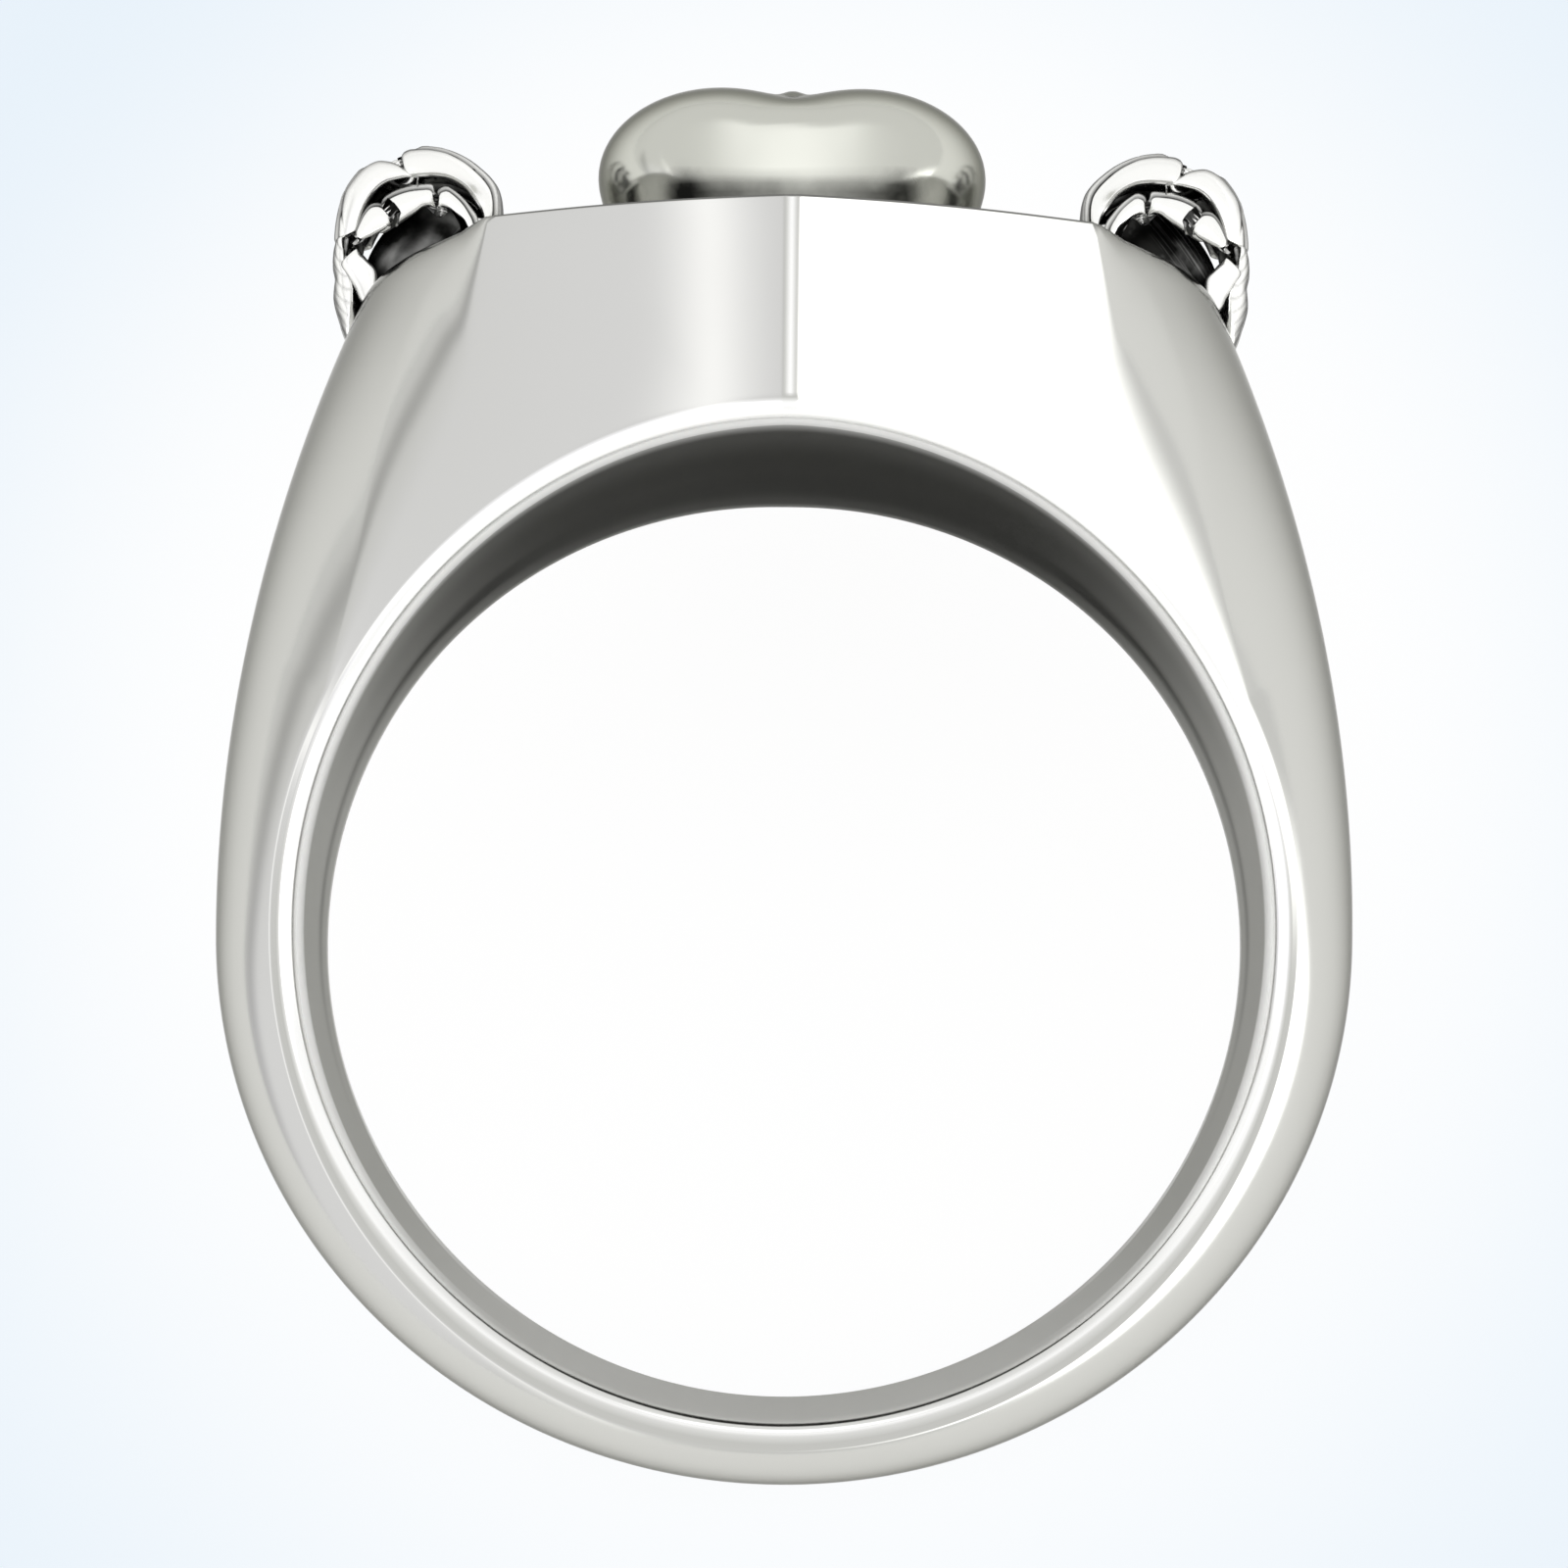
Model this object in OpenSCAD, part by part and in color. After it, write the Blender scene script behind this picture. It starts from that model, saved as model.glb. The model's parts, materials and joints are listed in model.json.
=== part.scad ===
// Skull ring, cast in one piece of silver.
// The ring is described upright first: X across, Y from the bore's middle to
// the head, Z along the finger. Then it is laid on its side, as it rests.

/* [Bore] */
// Inner diameter, a US size 9 finger
bore_d = 19; // [16:0.2:22]
// Radius that rounds each mouth of the bore
mouth_r = 0.55; // [0.3:0.05:0.8]

/* [Shank] */
// Wall at each side of the finger
side_wall = 2.02; // [1.6:0.02:2.6]
// Wall at the bottom of the finger
base_wall = 1.55; // [1.2:0.05:2.2]
// Width along the finger at the sides
side_w = 4.1; // [3.6:0.1:5.2]
// Width along the finger at the bottom
base_w = 2.9; // [2.4:0.1:4]
// How much the shank widens from its sides up to the head
widening = 2.9; // [2:0.1:4]

/* [Head] */
// Metal over the bore under the skull
head_wall = 3.8; // [3.2:0.1:4.6]
// Width of the flat top along the finger, at its middle
head_w = 19.7; // [17:0.1:22]
// Angle that each side of the head falls back at its middle ridge
ridge_fall = 11; // [8:0.5:16]
// Radius that each side of the head bows with, seen from the top
side_bow_r = 11; // [9:0.5:16]
// Angle that each side of the head leans in towards the bore
side_lean = 19.8; // [14:0.2:22]
// Radius of the outer curve from the shank up to the shoulder
shoulder_r = 29.3; // [26:0.1:34]
// Depth of the domed outer face beside the flat side of the head
dome_in = 2.1; // [1.6:0.1:2.6]
// Chamfer round the flat top
top_chamfer = 0.16; // [0.1:0.02:0.3]

/* [Skull] */
// Width across the temples
skull_w = 7.8; // [7:0.1:8.6]
// Length from the crown to the chin
skull_l = 10.6; // [9.6:0.1:11.6]
// Height of the brow over the flat top
skull_h = 3.65; // [3.3:0.05:4.2]

/* [Roses] */
// Radius of the rose's globe
rose_r = 2.15; // [1.8:0.05:2.4]
// Distance of each rose from the middle of the head
rose_x = 7.2; // [6.8:0.05:7.6]
// Height of the rose's middle over the flat top
rose_rise = 0.5; // [0.3:0.05:0.8]
// Lean of each rose away from the skull
rose_lean = 27; // [15:1:40]
// Thickness of a petal
petal_t = 0.26; // [0.2:0.02:0.36]

/* [Rest] */
// Angle that the ring rolls to one side of its head's ridge as it lies
rest_roll = 7; // [0:0.5:9]

/* [Hidden] */
silver = [0.80, 0.80, 0.77];

bore_r = bore_d / 2;
side_r = bore_r + side_wall;
base_r = bore_r + base_wall;
mouth_edge = bore_r + mouth_r;
top_y = bore_r + head_wall;
// The shoulder's arc is centred level with the bore, this far past its axis
shoulder_x = shoulder_r - side_r;
fall = tan(ridge_fall);
lean = tan(side_lean);
// Softness of the turn from the head's flat side to the shank
side_blend = 0.9;
// Softness of the corner between the shoulder and the flat top
corner_blend = 0.25;
// Height on the shoulder at which the dome reaches its full depth
dome_full_y = 8;
// The domed face starts this steeply beside the flat side
dome_from = 32;

function mix(a, b, t) = a + (b - a) * t;
function soft_max(a, b, k) = (a + b + sqrt((a - b) * (a - b) + k * k)) / 2;
function soft_min(a, b, k) = (a + b - sqrt((a - b) * (a - b) + k * k)) / 2;
function ease(t) = let (c = min(max(t, 0), 1)) c * c * (3 - 2 * c);

// Distances from the bore's axis in direction a: the oval shank, the shoulder's
// arc of radius r, the outer face, and the edge where flat side meets dome
function oval_r(a) = 1 / sqrt(pow(cos(a) / side_r, 2) + pow(sin(a) / base_r, 2));
function arc_r(a, r) = sqrt(r * r - pow(shoulder_x * sin(a), 2)) - shoulder_x * abs(cos(a));
function outer_r(a) = sin(a) <= 0 ? oval_r(a)
    : soft_min(arc_r(a, shoulder_r), top_y / max(sin(a), 0.1), corner_blend);
function dome_depth(a) =
    mix(side_r - mouth_edge, dome_in, ease(arc_r(a, shoulder_r) * sin(a) / dome_full_y));
function edge_r(a) = sin(a) <= 0 ? mouth_edge
    : min(max(arc_r(a, shoulder_r - dome_depth(a)), mouth_edge), outer_r(a) - top_chamfer);

// Half of the width along the finger, at radius r in direction a
function shank_half(a) =
    mix(base_w, side_w, 1 + sin(a)) / 2 + (widening - side_w / 2 + base_w / 2) * soft_max(sin(a), 0, 0.2);
function head_half(a, r) = let (x = abs(r * cos(a)))
    head_w / 2 - fall * x - x * x / (2 * side_bow_r) - lean * (top_y - r * sin(a)) + head_w * min(sin(a), 0);
function half_w(a, r) = soft_max(head_half(a, r), shank_half(a), side_blend);

mouth_turns = [25, 55, 80];
dome_turns = [0, 16, 36, 62, 90];

// One half of the cross-section in direction a, as [radius, half width], from
// inside the bore out to the middle of the outer face
function half_section(a) =
    let (edge = edge_r(a), at_mouth = half_w(a, mouth_edge), at_edge = half_w(a, edge))
    let (rise = outer_r(a) - edge, start = sin(dome_from))
    concat(
        [[bore_r - mouth_r, at_mouth - 2 * mouth_r]],
        [for (m = mouth_turns) [mouth_edge - mouth_r * cos(m), at_mouth - mouth_r * (1 - sin(m))]],
        [for (d = dome_turns) let (q = mix(dome_from, 90, d / 90))
            [edge + rise * (sin(q) - start) / (1 - start), at_edge * cos(q) / cos(dome_from)]]
    );
function section(a) = let (h = half_section(a), n = len(h))
    concat([for (p = h) [p[0], -p[1]]], [for (i = [n - 2 : -1 : 0]) h[i]]);
function in_place(a, p) = [p[0] * cos(a), p[0] * sin(a), p[1]];

// Directions of the cross-sections on one side, closer together at the shoulder
side_turn = concat([for (a = [-82.5 : 7.5 : 45]) a], [for (a = [50 : 2.5 : 67.5]) a], [for (a = [70 : 5 : 85]) a]);
band_turn = concat([-90], side_turn, [90], [for (i = [len(side_turn) - 1 : -1 : 0]) 180 - side_turn[i]]);
band_rings = [for (a = band_turn) [for (p = section(a)) in_place(a, p)]];

// Lying on its side the ring stands on the ridge of its head and on the lower
// edge of its shank. The tilt that brings both to the same height is found by
// halving.
head_points = [for (r = band_rings) for (p = r) if (p[1] > 0) p];
foot_points = [for (r = band_rings) for (p = r) if (p[1] < 0) p];
function height(p, t) = (p[1] * sin(t) + p[2] * cos(t)) * cos(rest_roll) - p[0] * sin(rest_roll);
function lowest(points, t) = min([for (p = points) height(p, t)]);
function settle(a, b, n) = let (t = (a + b) / 2) n == 0 ? t
    : lowest(head_points, t) < lowest(foot_points, t) ? settle(t, b, n - 1) : settle(a, t, n - 1);
rest_tilt = settle(0, 45, 14);
rest_lift = -lowest(foot_points, rest_tilt);
// Middle of the lying ring's outline, seen from above
rest_middle = 3.26;

// Two triangles on the corners a, b, c, d of one patch of skin
function patch(a, b, c, d) = [[a, b, c], [a, c, d]];

// A skin over rings of points; it either runs round and closes on its first
// ring, or is capped at its first and last ring
module skin(rings, capped = false) {
    n = len(rings);
    m = len(rings[0]);
    faces = [for (i = [0 : capped ? n - 2 : n - 1]) for (j = [0 : m - 1])
        let (next = (i + 1) % n, up = (j + 1) % m)
        each patch(i * m + j, i * m + up, next * m + up, next * m + j)];
    caps = capped ? [[for (j = [m - 1 : -1 : 0]) j], [for (j = [0 : m - 1]) (n - 1) * m + j]] : [];
    polyhedron([for (r = rings) for (p = r) p], concat(faces, caps), convexity = 8);
}

module band() {
    skin(band_rings);
}

module both_sides() {
    children();
    mirror([1, 0, 0]) children();
}

// The skull faces outwards: X across the face, Y up to the crown, Z out from
// the flat top. It is a soft union of ovals with soft hollows cut in it. Each
// row is an oval's middle, its radii and its turn in the face, for a skull of
// unit width, length and height; an oval off the middle stands for a pair.
skull_size = [skull_w, skull_l, skull_h];
skull_ovals = [
    [[0.175, 0.15, 0.48], [0.315, 0.32, 0.465], 0],
    [[0, 0.13, 0.2], [0.47, 0.33, 0.6], 0],
    [[0, 0.25, 0.44], [0.33, 0.235, 0.4], 0],
    [[0.185, 0.01, 0.7], [0.2, 0.045, 0.25], -9],
    [[0.31, -0.135, 0.5], [0.125, 0.045, 0.28], 16],
    [[0.39, -0.06, 0.34], [0.075, 0.07, 0.3], 0],
    [[0, -0.14, 0.34], [0.33, 0.23, 0.48], 0],
    [[0.11, -0.06, 0.62], [0.03, 0.15, 0.22], 4],
    [[0, -0.28, 0.44], [0.2, 0.1, 0.36], 0],
    [[0.05, -0.445, 0.36], [0.11, 0.045, 0.32], 0],
    [[0.26, -0.3, 0.28], [0.07, 0.15, 0.34], -24]
];
skull_hollows = [
    [[0.195, -0.088, 0.98], [0.13, 0.088, 0.5], -12],
    [[0.034, -0.215, 0.95], [0.038, 0.056, 0.36], 14],
    [[0, -0.175, 0.95], [0.028, 0.045, 0.28], 0],
    [[0.3, -0.26, 0.78], [0.1, 0.065, 0.36], 20],
    [[0.46, 0.0, 0.78], [0.08, 0.1, 0.3], 0]
];
oval_blend = 9;
hollow_blend = 0.16;

function oval_d(p, b) =
    let (v = [abs(p[0]), p[1], p[2]] - [for (i = [0 : 2]) b[0][i] * skull_size[i]], c = cos(b[2]), s = sin(b[2]))
    let (r = [for (i = [0 : 2]) b[1][i] * skull_size[i]])
    let (q = [(v[0] * c + v[1] * s) / r[0], (v[1] * c - v[0] * s) / r[1], v[2] / r[2]])
    let (k = norm(q)) k * (k - 1) / max(norm([q[0] / r[0], q[1] / r[1], q[2] / r[2]]), 0.001);
function total(list, i = 0) = i == len(list) ? 0 : list[i] + total(list, i + 1);
function joined_d(p, ovals) = -ln(total([for (b = ovals) exp(-oval_blend * min(oval_d(p, b), 8))])) / oval_blend;
function skull_d(p) = soft_max(joined_d(p, skull_ovals), -joined_d(p, skull_hollows), hollow_blend);
function surface_at(from, way, a, b, n) = let (t = (a + b) / 2) n == 0 ? from + t * way
    : skull_d(from + t * way) < 0 ? surface_at(from, way, t, b, n - 1) : surface_at(from, way, a, t, n - 1);

// Rays leave one point inside the skull, by latitude from crown to chin and by
// longitude round it, and are closest together over the face
skull_middle = [0, 0, 0.8];
latitudes = concat([87, 79], [for (a = [70 : -9 : 25]) a], [for (a = [18 : -4 : -46]) a], [-52, -60, -70, -81]);
longitudes = concat([for (a = [-105 : 7 : 105]) a], [135, 180, 225]);

module skull_bone() {
    skin([for (up = latitudes) [for (a = longitudes)
        surface_at(skull_middle, [sin(a) * cos(up), sin(up), cos(a) * cos(up)], 0, skull_l, 12)]], capped = true);
}

teeth_a_side = 4;
tooth_pitch = 0.4;
tooth_size = [0.19, 0.4, 0.5];
upper_y = -3.78;
lower_y = -4.42;
teeth_z = 2.72;
// Each row of teeth falls back to the sides along a parabola
teeth_fall = 0.22;

module teeth() {
    for (side = [-1, 1], i = [0 : teeth_a_side - 1]) {
        x = (i + 0.5) * tooth_pitch;
        for (y = [upper_y, lower_y])
            translate([side * x, y, teeth_z - teeth_fall * x * x]) scale(tooth_size) sphere(1, $fn = 6);
    }
}

module skull() {
    skull_bone();
    teeth();
}

// A rose points along Z from the middle of its globe. It is turned in layers
// from the lowest petals to the bud; each layer climbs to a scalloped rim,
// goes over it and drops into the gap before the next. Each row is the number
// of petals, their turn, the radius of the belly, and radius and height of the
// rim, all but the first two for a rose of unit radius.
petal_layers = [
    [5, 18, 0.84, 0.97, 0.42],
    [5, 54, 0.8, 0.75, 0.74],
    [3, 12, 0.54, 0.52, 0.93],
    [3, 72, 0.3, 0.3, 1]
];
rose_columns = 30;
petal_lap = 0.06;
rim_drop = 0.2;
gap_depth = 0.24;
bud_r = 0.14;
rose_foot = [[0.4, -0.9], [0.42, -0.32], [0.66, -0.04]];

function across_petal(a, n, turn) = let (u = (a - turn) * n / 360) u - floor(u);
function petal_rows(layer, a) =
    let (u = across_petal(a, layer[0], layer[1]), side = abs(2 * u - 1), lap = petal_lap * (u - 0.5))
    let (rim = layer[3] + lap, top = layer[4] - rim_drop * side * side, t = petal_t / rose_r)
    [[layer[2] + lap, top - 0.34], [mix(layer[2], layer[3], 0.6) + lap + 0.03, top - 0.12],
     [rim, top], [rim - t * 0.6, top + 0.02], [rim - t, top - 0.07], [rim - t - 0.05, top - gap_depth]];
function rose_profile(a) = rose_r * concat(
    rose_foot, [for (layer = petal_layers) each petal_rows(layer, a)], [[bud_r, 0.93], [0.02, 1]]);

module globe() {
    turns = [for (i = [0 : rose_columns - 1]) rose_profile(i * 360 / rose_columns)];
    rows = [for (k = [0 : len(turns[0]) - 1]) [for (i = [rose_columns - 1 : -1 : 0])
        let (a = i * 360 / rose_columns, p = turns[i][k]) [p[0] * cos(a), p[0] * sin(a), p[1]]]];
    skin(rows, capped = true);
}

// A pointed leaf along X, folded at its rib and drooping towards its tip.
// Each leaf's row is its turn about the rose, its height there and its droop.
leaf_l = 2.5;
leaf_w = 1.6;
leaf_fold = 0.2;
leaf_root = 0.6;
leaf_rows = [[-80, -0.3, 0.4], [0, 0.1, 1.1], [80, -0.3, 0.4]];

module leaf(droop) {
    steps = [0, 0.3, 0.55, 0.8, 1];
    rings = [for (s = steps)
        let (x = mix(leaf_root, leaf_l, s), half = leaf_w / 2 * sin(180 * mix(0.3, 0.97, s)))
        let (z = -droop * s * s * s)
        [[x, -half, z + leaf_fold], [x, 0, z], [x, half, z + leaf_fold],
         [x, half, z + leaf_fold - petal_t], [x, 0, z - petal_t], [x, -half, z + leaf_fold - petal_t]]];
    skin(rings, capped = true);
}

module rose() {
    globe();
    for (row = leaf_rows) rotate(row[0]) translate([0, 0, row[1]]) leaf(row[2]);
}

module rose_in_place() {
    translate([-rose_x, top_y + rose_rise, 0]) rotate([0, 0, 180 + rose_lean]) rotate([90, 0, 0]) rose();
}

// The cast body keeps its own size here while its parts are merged into one
// skin, so that the bore is then cut through it as a true cylinder
module cast_body() {
    resize([0, 0, 0]) union() {
        band();
        translate([0, top_y, 0]) rotate([90, 0, 180]) skull();
        both_sides() rose_in_place();
    }
}

module on_its_side() {
    translate([0, -rest_middle, rest_lift]) rotate([rest_tilt, rest_roll, 0]) children();
}

module ring() {
    color(silver)
    on_its_side()
    difference() {
        cast_body();
        cylinder(h = 2 * head_w, r = bore_r, center = true, $fn = 96);
    }
}

ring();
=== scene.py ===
"""A skull ring cast in one piece of silver, lying on its side on a pale floor.

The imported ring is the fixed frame. Every form is shaped upright in millimetres, with X
across the ring, Y from the bore up to the head and Z along the finger, and is then laid
in the frame's place, which the bore mount of the record gives.
"""

import json
import logging
import math
from dataclasses import dataclass
from enum import Enum
from typing import Callable, Sequence

import bmesh
import bpy
import numpy as np
from mathutils import Matrix, Vector

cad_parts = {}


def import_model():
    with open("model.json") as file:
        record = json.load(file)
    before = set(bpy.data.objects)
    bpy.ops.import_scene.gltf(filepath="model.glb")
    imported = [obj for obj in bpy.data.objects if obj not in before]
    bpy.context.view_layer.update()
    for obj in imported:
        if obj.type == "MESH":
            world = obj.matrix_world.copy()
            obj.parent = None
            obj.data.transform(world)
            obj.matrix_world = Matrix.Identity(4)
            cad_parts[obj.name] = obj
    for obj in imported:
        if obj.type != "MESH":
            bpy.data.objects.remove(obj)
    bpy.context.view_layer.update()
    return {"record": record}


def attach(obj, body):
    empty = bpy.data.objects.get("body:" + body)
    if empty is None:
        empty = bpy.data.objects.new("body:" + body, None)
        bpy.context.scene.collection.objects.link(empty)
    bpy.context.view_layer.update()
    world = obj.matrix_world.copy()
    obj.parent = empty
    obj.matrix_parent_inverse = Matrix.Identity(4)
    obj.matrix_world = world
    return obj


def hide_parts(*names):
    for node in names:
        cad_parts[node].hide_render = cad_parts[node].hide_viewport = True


log = logging.getLogger("skull_ring")

BODY = "root"
NODE = "ring"
# Values kept for each vertex: oxide in hollows together with painted shade, painted highlights, satin places,
# and where painted streaks of reflection show.
RECESS = "recess"
PAINTED_HIGHLIGHT = "painted_highlight"
SATIN = "satin"
STRAND = "strand"
MM = 0.001

# One value or an array of them, and a function that wires a node group from its inputs.
Values = float | np.ndarray
Wired = Callable[["Wiring", bpy.types.NodeOutputs], bpy.types.NodeSocket]


# Small maths


def mix(a: Values, b: Values, t: Values) -> Values:
    """A value between a and b, at share t."""
    return a + (b - a) * t


def soft_max(a: Values, b: Values, k: float) -> Values:
    """The larger of a and b, with the corner between them rounded over about k."""
    return (a + b + np.sqrt((a - b) ** 2 + k * k)) / 2


def soft_min(a: Values, b: Values, k: float) -> Values:
    """The smaller of a and b, with the corner between them rounded over about k."""
    return (a + b - np.sqrt((a - b) ** 2 + k * k)) / 2


def round_min(a: Values, b: Values, k: Values) -> Values:
    """The smaller of a and b, rounded only where the two differ by less than k."""
    near = np.maximum(k - np.abs(a - b), 0) / k
    return np.minimum(a, b) - near * near * k / 4


def ease(t: Values) -> Values:
    """A smooth step from 0 to 1 as t goes from 0 to 1."""
    t = np.clip(t, 0.0, 1.0)
    return t * t * (3 - 2 * t)


def bump(x: Values, middle: float, reach: float) -> Values:
    """A smooth bump of height 1 at the middle, which has faded at its reach."""
    return np.exp(-(((x - middle) / reach) ** 2))


# Mesh helpers


@dataclass(frozen=True)
class RestPose:
    """Where the upright ring lies in the frame.

    Attributes:
        matrix: Takes a point of the upright ring, in millimetres, to the frame in metres.
        turn: The turning part of that matrix alone.
    """

    matrix: Matrix
    turn: Matrix

    @classmethod
    def from_record(cls, record: dict) -> "RestPose":
        """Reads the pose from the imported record.

        Args:
            record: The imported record, whose bore mount gives place and axis.

        Returns:
            The pose. The bore first tilts about X and then rolls about Y.
        """
        bore = next(m for m in record["mounts"] if m["name"] == "finger_bore")
        x, y, z = bore["axis"]
        tilt = Matrix.Rotation(math.asin(-y), 4, "X")
        roll = Matrix.Rotation(math.atan2(x, z), 4, "Y")
        turn = roll @ tilt
        return cls(Matrix.Translation(bore["pos_m"]) @ turn @ Matrix.Scale(MM, 4), turn)

    def direction(self, across: float, up: float, along: float) -> Vector:
        """A direction of the upright ring, as it points in the frame."""
        return (self.turn @ Vector((across, up, along))).normalized()


def points_of(bm: bmesh.types.BMesh) -> np.ndarray:
    """The places of a bmesh's vertices, one row each."""
    return np.array([v.co for v in bm.verts], float).reshape(-1, 3)


def move_to(bm: bmesh.types.BMesh, points: np.ndarray) -> None:
    """Moves each vertex of a bmesh to its row of points."""
    for vert, point in zip(bm.verts, points):
        vert.co = point


def finish_piece(name: str, bm: bmesh.types.BMesh, pose: RestPose, finish: bpy.types.Material) -> None:
    """Makes a bmesh a smooth piece, which rides on the ring's body and replaces its node.

    Args:
        name: The piece's name.
        bm: Its shape, upright and in millimetres. It is freed.
        pose: Where the upright ring lies.
        finish: Its material.
    """
    bmesh.ops.transform(bm, matrix=pose.matrix, verts=bm.verts)
    for face in bm.faces:
        face.smooth = True
    mesh = bpy.data.meshes.new(name)
    bm.to_mesh(mesh)
    bm.free()
    mesh.materials.append(finish)
    piece = bpy.data.objects.new(name, mesh)
    bpy.context.scene.collection.objects.link(piece)
    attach(piece, BODY)
    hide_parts(NODE)
    log.info("%s: %d faces", name, len(mesh.polygons))


def keep_values(bm: bmesh.types.BMesh, name: str, values: np.ndarray) -> None:
    """Stores one value from 0 to 1 for each vertex, which the finish reads.

    Args:
        bm: The shape.
        name: The attribute's name: RECESS for oxide and painted shade, the one for painted highlights, or
            SATIN.
        values: One value for each vertex.
    """
    layer = bm.verts.layers.float.get(name) or bm.verts.layers.float.new(name)
    for vert, value in zip(bm.verts, values):
        vert[layer] = float(value)


# Shader nodes


class Wiring:
    """Adds shader nodes to one tree and links them."""

    def __init__(self, tree: bpy.types.NodeTree) -> None:
        """Starts on a tree."""
        self.nodes, self.links = tree.nodes, tree.links

    def fill(self, node: bpy.types.Node, inputs: dict[str | int, object]) -> None:
        """Links each input, by name or number, to its socket, or sets its value."""
        for key, value in inputs.items():
            if isinstance(value, bpy.types.NodeSocket):
                self.links.new(value, node.inputs[key])
            else:
                node.inputs[key].default_value = value

    def add(
        self, kind: str, inputs: dict[str | int, object] | None = None, **settings: object
    ) -> bpy.types.NodeOutputs:
        """Adds a node.

        Args:
            kind: Its type, less the word ShaderNode in front.
            inputs: A socket or a value for each input, by name or number.
            settings: Its other settings.

        Returns:
            Its outputs.
        """
        node = self.nodes.new("ShaderNode" + kind)
        for name, value in settings.items():
            setattr(node, name, value)
        self.fill(node, inputs or {})
        return node.outputs

    def math(self, operation: str, *values: object, use_clamp: bool = False) -> bpy.types.NodeSocket:
        """One step of arithmetic on sockets and numbers."""
        return self.add("Math", dict(enumerate(values)), operation=operation, use_clamp=use_clamp)["Value"]

    def vector_math(self, operation: str, *values: object) -> bpy.types.NodeOutputs:
        """One step of arithmetic on vectors."""
        return self.add("VectorMath", dict(enumerate(values)), operation=operation)

    def kept_value(self, name: str) -> bpy.types.NodeSocket:
        """One of the values that the mesh stores for each vertex."""
        return self.add("Attribute", attribute_name=name)["Fac"]

    def blend(self, first: object, second: object, share: bpy.types.NodeSocket) -> bpy.types.NodeSocket:
        """A blend of two colours."""
        return self.add("Mix", {"A": first, "B": second, "Factor": share}, data_type="RGBA")["Result"]

    def effect(self, group: bpy.types.NodeTree, inputs: dict) -> bpy.types.NodeSocket:
        """Places a shared effect and gives its output."""
        return self.add("Group", inputs, node_tree=group)[0]


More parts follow.
